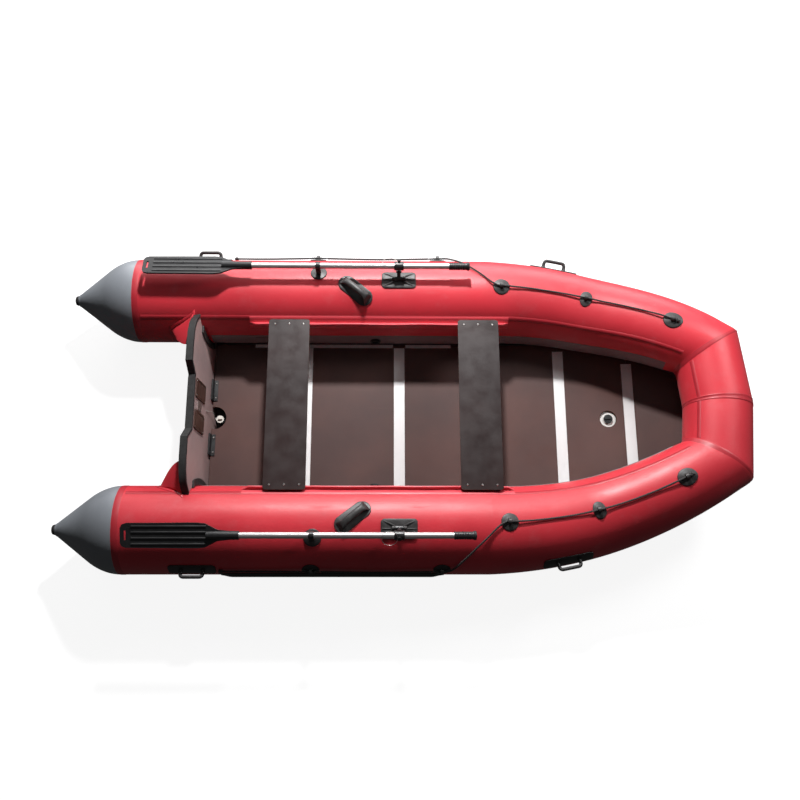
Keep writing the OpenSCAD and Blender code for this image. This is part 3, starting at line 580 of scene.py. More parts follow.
RED = coated_fabric("red_fabric", (0.6, 0.03, 0.045, 1), 0.42)
# The seam tape is a darker red than the tube, for contrast: it stands in for the dark lines along the seams, partly
# their stitching and partly painted shade along the tape edges.
RED_TAPE = coated_fabric("red_seam_tape", (0.42, 0.018, 0.03, 1), 0.45, weave=0.3, shift=0.08)
RED_GUSSET = coated_fabric("red_gusset", (0.62, 0.032, 0.048, 1), 0.4, weave=0.35, shift=0.16)
RED_RAIL = coated_fabric("red_rail_strip", (0.66, 0.055, 0.075, 1), 0.38, weave=0.15, shift=0.1)
GREY_CONE = coated_fabric("grey_cone_fabric", (0.235, 0.25, 0.275, 1), 0.4, shift=0.14)
GREY_BAND = coated_fabric("grey_band_fabric", (0.2, 0.17, 0.172, 1), 0.5, shift=0.16)
GREY_PATCH = coated_fabric("dark_patch_fabric", (0.06, 0.045, 0.046, 1), 0.45)
GREY_FLOOR = coated_fabric("grey_bottom_fabric", (0.11, 0.108, 0.112, 1), 0.55, shift=0.2)
PALE_KEEL = coated_fabric("pale_keel_fabric", (0.45, 0.44, 0.43, 1), 0.5)
FLOOR_PLY = film_ply("floor_film_ply", (0.088, 0.048, 0.044, 1), 0.46)
SEAT_PLY = film_ply("seat_film_ply", (0.021, 0.01, 0.01, 1), 0.35, mesh=0.25, spec=0.55)
TRANSOM_PLY = film_ply("transom_film_ply", (0.33, 0.245, 0.245, 1), 0.46, mesh=0.15, layers=False)
PAD_WOOD = wood("brown_pad_wood", (0.07, 0.03, 0.02, 1), 0.42, along=(1, 0.06, 1))
ALU_FLOOR = brushed("floor_aluminium", (0.88, 0.86, 0.86, 1), 0.42, along=(1, 0.02, 1), wear=0.2, metal=0.35)
ALU_OAR = brushed("oar_aluminium", (0.68, 0.66, 0.66, 1), 0.34, along=(0.02, 1, 1), metal=0.75)
STEEL = brushed("stainless_steel", (0.62, 0.6, 0.58, 1), 0.28, along=(1, 1, 1), wear=0.5)
RUBBER = moulded("black_rubber", (0.02, 0.018, 0.018, 1), 0.46, dusty=0.3)
RUBBER_MATT = moulded("matt_black_rubber", (0.014, 0.013, 0.013, 1), 0.6, dusty=0.15)
PLASTIC = moulded("black_plastic", (0.014, 0.014, 0.015, 1), 0.34, grain=500, dusty=0.12)
OAR_PLASTIC = moulded("black_oar_plastic", (0.013, 0.013, 0.014, 1), 0.33, grain=420, dusty=0.1)
GREY_PLASTIC = moulded("grey_plate_plastic", (0.05, 0.047, 0.047, 1), 0.42)
PALE_PLASTIC = moulded("pale_valve_plastic", (0.62, 0.6, 0.58, 1), 0.38, dusty=0.0)
WHITE_RUBBER = moulded("pale_plug_rubber", (0.6, 0.57, 0.52, 1), 0.5, dusty=0.0)
ROPE = twisted("black_rope_fibre", (0.016, 0.013, 0.013, 1))
WHITE_CORD = twisted("pale_cord_fibre", (0.4, 0.38, 0.35, 1))


# ---- Air tubes, one piece for each CAD tube part so that each keeps its own name ----
ROUND = 96  # points round a tube
TAPE_BEVEL = 0.35  # degrees over which a tape's edge slopes


def stations(a, b, step):
    """Even places from a to b, about a step apart."""
    n = max(1, round((b - a) / step))
    return [lerp(a, b, i / n) for i in range(n + 1)]


def tube_piece(stops):
    return Shape().loft([[hull(s, 360 * k / ROUND) for k in range(ROUND)] for s in stops])


QUARTER_MID = TURN_X + TURN_R * sin(TURN / 2)
CORNER_STOPS = stations(QUARTER_MID, CORNER_X - FILLET, 0.02)[:-1] + stations(CORNER_X - FILLET, CORNER_X, 0.0045)
BOW_STOPS = (stations(CORNER_X, CORNER_X + FILLET / HALF_BOW, 0.016)
             + stations(CORNER_X + FILLET / HALF_BOW, CORNER_X + 1, 0.1)[1:])
PARTS = {"side_tube": stations(CONE_X, TURN_X, 0.05), "bow_quarter_aft": stations(TURN_X, QUARTER_MID, 0.02),
         "bow_quarter_fwd": CORNER_STOPS}
for part, stops in PARTS.items():
    for side, skin in tube_piece(stops).both_sides():
        skin.make(part + "_skin_" + side, RED, nodes=[part + "_" + side], slot="red_tube_fabric")
tube_piece(BOW_STOPS).mirror().make("bow_tube_skin", RED, nodes=["bow_tube"], slot="red_tube_fabric")
tube_piece(stations(STERN_X + CAP_LEN, CONE_X, 0.012)).mirror().make(
    "stern_cone_skins", GREY_CONE, nodes=["stern_cones"], slot="grey_cone_fabric")

cap = Shape()
rim = [(CAP_R + 0.0012, 0.0), (CAP_R + 0.0012, 0.004), (CAP_R, 0.006), (CAP_R - 0.0008, 0.0095)]
cap_dome = [(CAP_R * cos(t) - 0.0008, 0.0095 + (CAP_LEN - 0.0095) * sin(t))
            for t in (0.3, 0.6, 0.9, 1.15, 1.35, 1.5)]
back = Matrix.Translation((STERN_X + CAP_LEN, TUBE_Y, TUBE_Z)) @ Matrix.Rotation(-pi / 2, 4, "Y")
cap.revolve(rim + cap_dome, back, n=40)
cap.mirror().make("cone_cap_moulds", RUBBER, nodes=["cone_caps"], slot="black_rubber")


def ring_tape(shape, first, last, thick, steps=2):
    """Tape round the tube between two stations, with bevelled edges."""
    stops = stations(first, last, (last - first) / (steps + 2))
    profile = [(stops[0], -0.0006)] + [(s, thick) for s in stops[1:-1]] + [(stops[-1], -0.0006)]
    loops = [[hull(s, 360 * k / ROUND, g) for s, g in profile] for k in range(ROUND)]
    shape.loft(loops, ring=True)


def long_tape(shape, stops, low, high, thick):
    """Tape along the tube between two angles."""
    profile = [(low, -0.0006), (low + TAPE_BEVEL, thick), ((low + high) / 2, thick), (high - TAPE_BEVEL, thick),
               (high, -0.0006)]
    shape.loft([[hull(s, a, g) for a, g in profile] for s in stops])


seams = Shape()
ring_tape(seams, CONE_X - 0.003, CONE_X + 0.034, 0.001)
ring_tape(seams, CORNER_X - 0.014, CORNER_X + 0.014 / HALF_BOW, 0.0015, steps=1)
long_stops = stations(CONE_X + 0.04, TURN_X, 0.06) + stations(TURN_X, CORNER_X - 0.05, 0.03)[1:]
long_tape(seams, long_stops, 41.0, 48.5, 0.0009)
long_tape(seams, long_stops, 262.0, 272.0, 0.0009)
long_tape(seams, stations(CORNER_X + 0.06, CORNER_X + 0.97, 0.1), 38.0, 45.5, 0.001)
# half of the tape round the middle of the bow tube, open where it meets its mirror image
middle_tape = ((0.945, -0.0006), (0.951, 0.0012), (0.972, 0.0014), (0.978, 0.0007), (1.0, 0.0007))
seams.grid([[hull(CORNER_X + f, 360 * (k % ROUND) / ROUND, g) for f, g in middle_tape] for k in range(ROUND + 1)])
seams.mirror().make("tube_seam_tapes", RED_TAPE, slot="red_tube_fabric", sharp=60)

cone_seams = Shape()
long_tape(cone_seams, stations(STERN_X + 0.06, CONE_X - 0.004, 0.02), 262.0, 271.0, 0.0008)
ring_tape(cone_seams, STERN_X + CAP_LEN - 0.001, STERN_X + CAP_LEN + 0.012, 0.0012)
cone_seams.mirror().make("cone_seam_tapes", GREY_CONE, slot="grey_cone_fabric", sharp=60)

# bands of grey cloth over the inboard side, with a dark patch by each end of the transom
band_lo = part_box("inner_bands")[0]
BAND_END = CORNER_X - 0.105
band_stops = stations(band_lo.x, TURN_X, 0.1) + stations(TURN_X, BAND_END, 0.025)[1:]
band = Shape()
out_side = [(a, 0.0018) for a in (13.6, 8, 0, -8, -16, -24, -32, -40, -48, -55.6)]
in_side = [(a, 0.0004) for a in (-56, -48, -40, -32, -24, -16, -8, 0, 8, 14)]
band.loft([[hull(s, a, g) for a, g in out_side + in_side] for s in band_stops])
band.mirror().make("inner_band_skins", GREY_BAND, nodes=["inner_bands"], slot="grey_floor_fabric")
patch = Shape()
patch.loft([[hull(s, a, g) for a, g in ((9, 0.001), (8.7, 0.0027), (-14, 0.0027), (-37, 0.0027), (-38, 0.001))]
            for s in stations(-0.752, -0.652, 0.02)])
patch.mirror().make("band_patches", GREY_PATCH, slot="grey_floor_fabric")

rail_lo, rail_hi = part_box("seat_rails")
RAIL_ANGLE = 38


def rail_loop(x, k):
    """Section of the fabric rail: a base strip, a web and the bead that the seats slide on. k is 1 at full height."""
    wave = 0.0012 * sin(x * 17.0) * k
    half = [(5.0 * sin(radians(t)), 18 + 5.0 * cos(radians(t))) for t in (20, 55, 90, 125, 160)]
    half += [(1.5, 12.8), (1.7, 4.6), (4, 3.3), (20, 3.1), (32, 2.6), (34, 0.4)]
    out = []
    for b, h in mirrored(half):
        b, h = b / 1000, h / 1000
        h = h if h < 0.0035 else 0.0032 + (h - 0.0032) * k
        bend = wave * clamp((h - 0.004) / 0.014)
        out.append(hull(x, RAIL_ANGLE + math.degrees((b + bend) / TUBE_R), h))
    return out


rail = Shape()
rail_stops = ([rail_lo.x, rail_lo.x + 0.012, rail_lo.x + 0.03] + stations(rail_lo.x + 0.05, rail_hi.x - 0.05, 0.03)
              + [rail_hi.x - 0.03, rail_hi.x - 0.012, rail_hi.x])
rail.loft([rail_loop(x, clamp(min(x - rail_lo.x, rail_hi.x - x) / 0.03, 0.12, 1.0)) for x in rail_stops])
rail.mirror().make("seat_rail_strips", RED_RAIL, nodes=["seat_rails"], slot="red_rail", sharp=50)

strake_lo, strake_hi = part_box("rub_strakes")


def strake_loop(x):
    """Section of the rubbing strake, with three grooves and a rounded rib."""
    thin = smooth(min(x - strake_lo.x, strake_hi.x - x) / 0.05)
    half = [(3, 12.0), (4.5, 10.8), (6, 12.0), (16, 11.8), (22, 10.6), (26, 8.0), (28, 6.0), (36, 6.0), (38, 5.0),
            (40, 6.0), (50, 5.8), (53, 4.6), (54, 0.3)]
    middle = 180 + math.degrees(0.024 / TUBE_R)
    return [hull(x, middle + math.degrees(b / 1000 / TUBE_R), (0.3 + (h - 0.3) * (0.3 + 0.7 * thin)) / 1000)
            for b, h in mirrored(half)]


strake = Shape()
strake.loft([strake_loop(x) for x in stations(strake_lo.x, strake_lo.x + 0.05, 0.01)
             + stations(strake_lo.x + 0.05, strake_hi.x - 0.05, 0.09)[1:]
             + stations(strake_hi.x - 0.05, strake_hi.x, 0.01)[1:]])
strake.mirror().make("rub_strake_mouldings", RUBBER_MATT, nodes=["rub_strakes"], slot="black_rubber", sharp=25)


# ---- Bottom ----
FLOOR_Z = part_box("floor_board_1")[1].z
BOARD_T = FLOOR_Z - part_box("floor_board_1")[0].z
FLOOR_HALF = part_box("floor_board_1")[1].y
FLOOR_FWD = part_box("floor_board_6")[1].x
BEND_X = 1.178
BEND_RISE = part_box("floor_board_6")[1].z - FLOOR_Z
GUARD_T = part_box("keel_guard")[1].z


def gap_at(x, z):
    c, r = ring_at(round(x, 6))[:2]
    return c.y - math.sqrt(max(0, (r + 0.0025) ** 2 - (z - c.z) ** 2))


def lift_at(x):
    return BEND_RISE * clamp((x - BEND_X) / (FLOOR_FWD - BEND_X))


def board_under(x):
    return FLOOR_Z - BOARD_T + lift_at(x)


def edge_y(x):
    c, r = ring_at(round(x, 6))[:2]
    return min(FLOOR_HALF, gap_at(x, FLOOR_Z + lift_at(x)) - 0.006, gap_at(x, board_under(x)) - 0.006, c.y - r + 0.05)


def keel_line(x):
    return GUARD_T + (board_under(FLOOR_FWD) - 0.008) * clamp((x - 1.08) / (FLOOR_FWD - 1.08)) ** 1.5


def bottom_row(x):
    """Section of the bottom from the keel out to its glued edge on the tube, softened at the chines."""
    k = keel_line(x)
    turn_down = -38 - 24 * clamp((x - 0.7) / (FLOOR_FWD - 0.7))
    edge = hull(x, turn_down, 0.0026)
    knee = Vector((x, edge_y(x) + 0.001, board_under(x) - 0.005))
    corner = Vector((x, 0.12 * edge.y, k))
    key = [Vector((x, 0, k)), corner, corner.lerp(knee, 0.33), corner.lerp(knee, 0.66), knee, edge]
    out = []
    for i in range(len(key) - 1):
        out += [key[i].lerp(key[i + 1], t / 4) for t in range(4)]
    out += [edge] + [hull(x, turn_down - d, 0.0014) for d in (3, 8, 14)]
    return [Vector((x, p.y, p.z - 0.0015 * sin(pi * clamp((i - 4) / 14)))) for i, p in enumerate(out)]


UNDER_TRANSOM = 0.022  # how far the sheet runs on aft, under the raked board
NOSE_AHEAD, NOSE_HALF, NOSE_Z = 0.032, 0.225, 0.166  # its straight front edge, glued to the bow tube
bottom_stops = (stations(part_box("bottom_skin_port")[0].x - UNDER_TRANSOM, 0.4, 0.12)
                + stations(0.4, FLOOR_FWD, 0.035)[1:])
rows = [bottom_row(x) for x in bottom_stops]
front = [Vector((FLOOR_FWD + NOSE_AHEAD, NOSE_HALF * i / (len(rows[0]) - 1), NOSE_Z)) for i in range(len(rows[0]))]
for side, skin in Shape().grid(rows + [front]).both_sides():
    thicken(skin.make("bottom_sheet_" + side, GREY_FLOOR, nodes=["bottom_skin_" + side], slot="grey_floor_fabric",
                      sharp=70), 0.0011, offset=0)

keel_lo, keel_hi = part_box("air_keel")
keel_r = (keel_hi.y - keel_lo.y) / 2
keel_mid = (keel_hi.z + keel_lo.z) / 2
keel = Shape()
keel_ends = [(0.0, 0.0), (0.004, 0.35), (0.012, 0.66), (0.024, 0.87), (0.04, 0.99)]
keel_rings = [(keel_lo.x + d, k) for d, k in keel_ends]
keel_rings += [(x, 1.0) for x in stations(keel_lo.x + 0.08, keel_hi.x - 0.08, 0.15)]
keel_rings += [(keel_hi.x - d, k) for d, k in reversed(keel_ends)]
keel.loft([[Vector((x, y, keel_mid + z)) for y, z in circle(keel_r * max(k, 0.02) * 0.995, 48)]
           for x, k in keel_rings])
keel.make("air_keel_skin", PALE_KEEL, nodes=["air_keel"], slot="pale_keel_fabric")

guard_lo, guard_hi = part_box("keel_guard")
guard = Shape()
half_ribs = [(1, 0.9), (3, 0.0), (10, 0.0), (12, 0.9), (20, 0.9), (22, 0.0), (28, 0.2), (30, 0.8)]
ribs = mirrored(half_ribs) + [(30, 2.5), (0, 2.5), (-30, 2.5)]
guard.loft([[Vector((x, y / 1000, z / 1000)) for y, z in ribs]
            for x in stations(guard_lo.x, guard_hi.x, 0.2)])
guard.make("keel_guard_strip", RUBBER_MATT, nodes=["keel_guard"], slot="black_rubber", sharp=25)


# ---- Floor ----
carry(["floor_board_%d" % i for i in range(1, 7)], FLOOR_PLY, 0.0011)
joints_x = [(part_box("floor_board_%d" % i)[1].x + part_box("floor_board_%d" % (i + 1))[0].x) / 2 for i in range(1, 6)]
JOINER_W, JOINER_T = 0.055, 0.0018
joiner = Shape()
for x in joints_x:
    half = edge_y(x + JOINER_W / 2) - 0.017
    top, under = FLOOR_Z + JOINER_T, FLOOR_Z - BOARD_T - JOINER_T
    w = JOINER_W / 2
    crest = []
    for i in range(9):
        at = lerp(-w + 0.0045, w - 0.0045, i / 8)
        crest += [(at - 0.0019, top), (at - 0.0009, top - 0.00075), (at + 0.0009, top - 0.00075), (at + 0.0019, top)]
    profile = [(-w, FLOOR_Z + 0.0001), (-w, top - 0.001), (-w + 0.0009, top)] + crest + [
        (w - 0.0009, top), (w, top - 0.001), (w, FLOOR_Z + 0.0001)]
    lower = [(-w, under + JOINER_T), (-w, under), (w, under), (w, under + JOINER_T)]
    web = [(-0.001, under), (0.001, under), (0.001, top - 0.001), (-0.001, top - 0.001)]
    for outline in (profile, lower, web):
        joiner.loft([[Vector((x + a, y, z)) for a, z in outline] for y in (-half, half)])
joiner.make("floor_joiner_profiles", ALU_FLOOR, nodes=["floor_joiners"], slot="aluminium_profile", sharp=20)
carry(["floor_stringers"], ALU_FLOOR, 0.0004)


# ---- Transom ----
carry(["transom"], TRANSOM_PLY, 0.0022, 3)
carry(["transom_trim"], RUBBER_MATT, 0.002, 3)
carry(["motor_plate"], GREY_PLASTIC, 0.0016, 3)
carry(["motor_pad"], PAD_WOOD, 0.0014, 3)
carry(["transom_flanges"], RUBBER, 0.0026, 3)
carry(["transom_hardware"], STEEL, 0.0003)
carry(["floor_brackets"], PLASTIC, 0.001)
carry(["drain_valve"], PLASTIC, 0.0008)
carry(["drain_plug"], WHITE_RUBBER, 0.001)
carry(["baffles"], PALE_KEEL, 0)
carry(["tube_valves", "keel_valve_cap", "tube_valve_cap_port", "tube_valve_cap_stbd"], PLASTIC, 0.0007)
carry(["keel_valve"], PALE_PLASTIC, 0.0006)

RAKE = radians(8)
TRANSOM_X = -0.964


def on_transom(aft, y, s):
    """Point in the transom's own plane: aft of its front face, across, and up along the rake."""
    return Vector((TRANSOM_X - aft * cos(RAKE) - s * sin(RAKE), y,
                   -aft * sin(RAKE) + s * cos(RAKE)))


TRANSOM_T = 0.028
TRANSOM_BACK = TRANSOM_T + 0.004
GUSSET_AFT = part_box("transom_gussets")[0].x + 0.004
GUSSET_Y, GUSSET_UP = 0.292, 0.398  # where its free edge leaves the transom's shoulder
GUSSET_HOLLOW = 0.03  # how far that edge curves in


def gusset_sheet(near_angle, far_angle, rise):
    """Cloth from a line along the tube to a free edge that runs from the transom back to the tube."""
    free_start, free_end = on_transom(TRANSOM_BACK, GUSSET_Y, GUSSET_UP), hull(GUSSET_AFT, 24, 0.001)
    near = on_transom(TRANSOM_BACK, 0, sin(radians(near_angle)) * TUBE_R + TUBE_Z).x
    rows = []
    for i in range(15):
        t = i / 14
        on_tube = hull(lerp(near, GUSSET_AFT, t), lerp(near_angle, far_angle, t ** 0.8), 0.0012)
        free = free_start.lerp(free_end, t) + Vector((0, -GUSSET_HOLLOW * sin(pi * t), 0))
        row = []
        for k in range(11):
            u = k / 10
            swell = Vector((0, 0, rise * sin(pi * u) * (1 - t) * (0.35 + 0.65 * sin(pi * t))))
            row.append(on_tube.lerp(free, u) + swell)
        rows.append(row)
    return rows


gusset = Shape().grid(gusset_sheet(50, 26, 0.008)).grid(gusset_sheet(-16, 22, -0.008))
glue = [[hull(x, a, h) for a, h in ((angle + 6, 0.0008), (angle + 5.6, 0.0022), (angle - 8, 0.0022))]
        for x, angle in [(lerp(-1.04, GUSSET_AFT - 0.012, i / 12), lerp(50, 25, (i / 12) ** 0.8)) for i in range(13)]]
gusset.grid(glue)
gusset_piece = gusset.mirror().make("transom_gusset_sheets", RED_GUSSET, nodes=["transom_gussets"],
                                    slot="red_gusset_fabric", sharp=80)
thicken(gusset_piece, 0.0016)


# ---- Drain cord ----
CORD_R = 0.0013
cord_route = [(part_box("drain_cord")[0].x + 0.002, 0.01, 0.189), (-0.985, 0.013, 0.172), (-0.976, 0.018, 0.15),
              (-0.968, 0.02, 0.12), (-0.965, 0.014, 0.098), (-0.9635, 0.006, 0.084), (-0.962, 0.001, 0.077)]
cord = Shape().pipe(spline(cord_route, 0.003), CORD_R, 10)
for at in (cord_route[0], cord_route[-1]):
    knot = [Vector(at) + Vector((0.0022 * sin(2.2 * t), 0.0022 * cos(2.2 * t), 0.0012 * t))
            for t in range(-4, 4)]
    cord.pipe(spline(knot, 0.001), CORD_R, 8)
cord.make("drain_cord_line", WHITE_CORD, nodes=["drain_cord"], slot="white_cord")


# ---- Seats ----
carry(["seat_aft", "seat_fwd"], SEAT_PLY, 0.0022, 3)
carry(["seat_shoes_aft", "seat_shoes_fwd"], PLASTIC, 0.0012)
carry(["seat_screws_aft", "seat_screws_fwd"], STEEL, 0.0002)


# ---- Oarlocks and oars, built on the port side ----
LOCK_X = -0.034
BAR_OUT = 0.031  # the lock's bar is this far outboard of the tube's middle
BAR_Y, BAR_Z = TUBE_Y + BAR_OUT, TUBE_Z + 0.226
TILT = radians(40)  # the stud leans this far outboard
STUD = 0.066  # from the bar to the oar's middle line
OAR_Y, OAR_Z = BAR_Y + STUD * sin(TILT), BAR_Z + STUD * cos(TILT)
LOCK_ANGLE = 90 + math.degrees(math.asin(BAR_OUT / TUBE_R))
ALONG = Matrix.Rotation(pi / 2, 4, "Y")


PLATE_T = 0.0058


def plate_steps(inner=0.044, n=5):
    """Steps for a flat moulded plate with rounded edges."""
    low, edge, top = 0.0005, 0.0016, PLATE_T
    return [(0, low), (0, top - edge), (edge * 0.35, top - edge * 0.3), (edge, top)] + [
        (edge + (inner - edge) * i / n, top) for i in range(1, n + 1)]


def ridge(shape, x, degrees, start, stop, width, height):
    """Moulded rib that follows the hull between two (along, across) points."""
    a, b = Vector(start), Vector(stop)
    side = Vector((-(b - a).y, (b - a).x)).normalized()
    rows = []
    for i in range(9):
        t = i / 8
        p = a.lerp(b, t)
        h, w = height(t), width(t) / 2
        cut = mirrored([(w * 0.62, h * 0.95), (w, h * 0.72), (w, 0.002)], (0, h))
        rows.append([on_hull(x, degrees, p.x + side.x * u, p.y + side.y * u, v) for u, v in cut])
    shape.loft(rows)


lock = Shape()
lock.pad(LOCK_X, LOCK_ANGLE, lambda i: rounded_rect(0.17 - 2 * i, 0.092 - 2 * i, 0.018 - i * 0.4), plate_steps())
for sx in (-1, 1):
    for sy in (-1, 1):
        ridge(lock, LOCK_X, LOCK_ANGLE, (sx * 0.073, sy * 0.036), (sx * 0.0205, sy * 0.012),
              lambda t: 0.008, lambda t: 0.0062 + 0.0055 * sin(pi * 0.5 * min(1, t * 1.6)))
    ridge(lock, LOCK_X, LOCK_ANGLE, (sx * 0.079, 0.0), (sx * 0.037, 0.0), lambda t: 0.007,
          lambda t: 0.0062 + 0.003 * sin(pi * 0.5 * min(1, t * 1.6)))
KNUCKLE_R = 0.01
knuckle = [(-0.0105, -0.0235), (0.0105, -0.0235), (KNUCKLE_R, 0.0)]
knuckle += [(KNUCKLE_R * cos(radians(t)), KNUCKLE_R * sin(radians(t))) for t in range(15, 180, 15)]
knuckle += [(-KNUCKLE_R, 0.0)]
knuckle_ends = mirrored([(0.0056, 1.0), (0.007, 0.9)])
for sx in (-1, 1):
    lock.loft([[Vector((LOCK_X + sx * 0.027 + d, BAR_Y + y * k, BAR_Z + z * (k if z > 0 else 1))) for y, z in knuckle]
               for d, k in knuckle_ends])
bar_profile = both_ends([(0.005, 0.03), (0.0036, 0.031)])
lock.revolve(bar_profile, Matrix.Translation((LOCK_X, BAR_Y, BAR_Z)) @ ALONG, n=24)
lock.mirror().make("oarlock_mouldings", RUBBER, nodes=["oarlock_bases"], slot="black_rubber", bevel=(0.0006, 2))
carry(["oarlock_swivel_port", "oarlock_swivel_stbd"], PLASTIC, 0.0008)
stud_place = Matrix.Translation((LOCK_X, BAR_Y, BAR_Z)) @ Matrix.Rotation(-TILT, 4, "X")
split_mid = stud_place @ Vector((-0.042, 0.004, STUD + 0.0185))
SPLIT_R = 0.036
split = [split_mid + Vector((SPLIT_R * cos(t) - 0.002, SPLIT_R * sin(t) * 0.8,
                             -SPLIT_R * sin(t) * 0.45 + 0.0006 * t))
         for t in [i * pi / 24 for i in range(-2, 51)]]
split_ring = Shape().pipe(split, 0.0012, 8)

carry(["oar_shaft_port", "oar_shaft_stbd"], ALU_OAR, 0)
carry(["oar_blade_port", "oar_blade_stbd"], OAR_PLASTIC, 0.0014, 2)
GRIP_LO, GRIP_HI = 0.212, 0.31
SHAFT_R = 0.0145
grip_place = Matrix.Translation((0, OAR_Y, OAR_Z)) @ ALONG
BORE_R = SHAFT_R + 0.0003
fit = Shape()
prof = [(BORE_R, GRIP_LO), (0.0178, GRIP_LO + 0.0006), (0.0192, GRIP_LO + 0.002), (0.0192, GRIP_LO + 0.006)]
for k in range(7):
    z = GRIP_LO + 0.01 + k * 0.0115
    prof += [(0.0172, z - 0.0022), (0.0172, z + 0.003), (0.0188, z + 0.0042), (0.0188, z + 0.0068)]
prof += [(0.02, GRIP_HI - 0.0085), (0.0212, GRIP_HI - 0.0065), (0.0212, GRIP_HI - 0.001), (0.0196, GRIP_HI + 0.0022),
         (0.015, GRIP_HI + 0.0038), (0.006, GRIP_HI + 0.004)]
fit.revolve(prof, grip_place, n=48)
collar = both_ends([(0.0208, 0.0152), (0.022, 0.0164), (0.022, 0.02), (0.0218, 0.0228), (0.02, 0.024),
                    (BORE_R, 0.0238)])
fit.revolve(collar, Matrix.Translation((LOCK_X, OAR_Y, OAR_Z)) @ ALONG, n=48)
CLIP_X = -0.431
keeper = both_ends([(0.019, 0.011), (0.018, 0.012), (BORE_R, 0.0118)])
fit.revolve(keeper, Matrix.Translation((CLIP_X, OAR_Y, OAR_Z)) @ ALONG, n=40)
for (side, fittings), (_, ring) in zip(fit.both_sides(), split_ring.both_sides()):
    fittings.make("oar_fitting_mouldings_" + side, PLASTIC, "oar_" + side, ["oar_fittings_" + side], "black_plastic",
                  sharp=30)
    ring.make("oarlock_split_ring_" + side, STEEL, "oarlock_swivel_" + side, slot="stainless_fastener")


# ---- Handles, pads and lines ----
PAD_R = 0.041
EYE_UP = 0.014
PAD_SPOTS = [(1.323, 90), (0.911, 90), (0.475, 90), (0.167, 20), (-0.444, 20)]  # (x, degrees up from outboard)
TURN_PAD_X, TURN_PAD_LIFT = 0.911, 0.0015  # its eye is raised, as the tube turns there


def eye_at(shape, place):
    """Upright eye, a rounded block with a round hole, with its hole along local X."""
    loops = []
    for k in range(48):
        t = 2 * pi * k / 48
        c, u = cos(t), sin(t)
        outer = 0.014 if u >= 0 else min(0.014 / max(abs(c), 1e-6), 0.012 / max(-u, 1e-6))
        hole = 0.0061
        cut = both_ends([(hole, 0.0064), (hole + 0.0016, 0.008), (outer - 0.0014, 0.008), (outer, 0.0066)])
        loops.append([place @ Vector((w, -c * r, u * r)) for r, w in cut])
    shape.loft(loops, ring=True)


pads = Shape()
disc_steps = [(0, 0.0005), (0, 0.003), (0.0012, 0.0042), (0.004, 0.005), (0.012, 0.0058), (0.02, 0.0072),
              (0.026, 0.0085), (0.034, 0.0088), (0.0395, 0.0088)]
for x, up in PAD_SPOTS:
    pads.pad(x, 180 - up, lambda i: circle(PAD_R - i, 48), disc_steps)
    pad_lift = TURN_PAD_LIFT if x == TURN_PAD_X else 0.0
    eye_at(pads, hull_frame(x, 180 - up) @ Matrix.Translation((0, 0, EYE_UP + pad_lift)))
CLIP_ANGLE = 90 + math.degrees(math.asin((OAR_Y - 0.003 - TUBE_Y) / TUBE_R))
pads.pad(CLIP_X, CLIP_ANGLE, lambda i: circle(PAD_R - i, 48), disc_steps)
clip_base = hull(CLIP_X, CLIP_ANGLE, 0.007)
clip_mid = Vector((CLIP_X, OAR_Y, OAR_Z))
down = Vector((0, -sin(TILT), -cos(TILT)))
post_top = clip_mid + down * 0.0196
over = Vector((0, cos(TILT), -sin(TILT)))
post = []
for k in range(7):
    t = k / 6
    p = clip_base.lerp(post_top, t)
    w = lerp(0.0125, 0.0108, t)
    lean = over.lerp(Vector((0, 1, 0)), 1 - t).normalized()
    post.append([p + Vector((a, 0, 0)) + lean * b for a, b in rounded_rect(0.024, 2 * w, 0.005, 4)])
pads.loft(post)
pads.mirror().make("eye_and_clip_pads", RUBBER, nodes=["eye_pads"], slot="black_rubber", sharp=34)

grips = Shape()
GRIP_SPOT = (-0.248, 0.565)
GRIP_ANGLE = 90 - math.degrees(math.asin((TUBE_Y - GRIP_SPOT[1]) / TUBE_R))
GRIP_TURN = radians(-40)


def in_grip(u, v):
    """From (along, across) the grip to (along, towards the top) on the tube."""
    c, w = cos(GRIP_TURN), sin(GRIP_TURN)
    return c * u - w * v, -(w * u + c * v)


grips.pad(GRIP_SPOT[0], GRIP_ANGLE, lambda i: [in_grip(u, v) for u, v in rounded_rect(
    0.195 - 2 * i, 0.084 - 2 * i, 0.0419 - i, 10)], plate_steps(inner=0.0405, n=7))
arch = []
ARCH_HALF = 0.0835
for k in range(33):
    u = lerp(-ARCH_HALF, ARCH_HALF, k / 32)
    rise = 1 - (abs(u) / ARCH_HALF) ** 2.6
    lift = 0.029 * max(0, rise) ** 0.62
    thick = lerp(0.003, 0.0098, smooth(rise * 1.5))
    wide = lerp(0.026, 0.0165, smooth(rise * 1.3))
    level = TUBE_Z + TUBE_R + 0.001 + lift
    loop = []
    for a, b in circle(1, 20):
        x, across = in_grip(u, wide * a)
        base = on_hull(GRIP_SPOT[0], GRIP_ANGLE, x, across, 0.004)
        centre_z = max(base.z, lerp(base.z, level, smooth(rise * 3)))
        loop.append(Vector((GRIP_SPOT[0] + x, GRIP_SPOT[1] - across, centre_z + thick * b)))
    arch.append(loop)
grips.loft(arch)
grips.mirror().make("oval_grip_mouldings", RUBBER, nodes=["oval_grips"], slot="black_rubber", sharp=40)

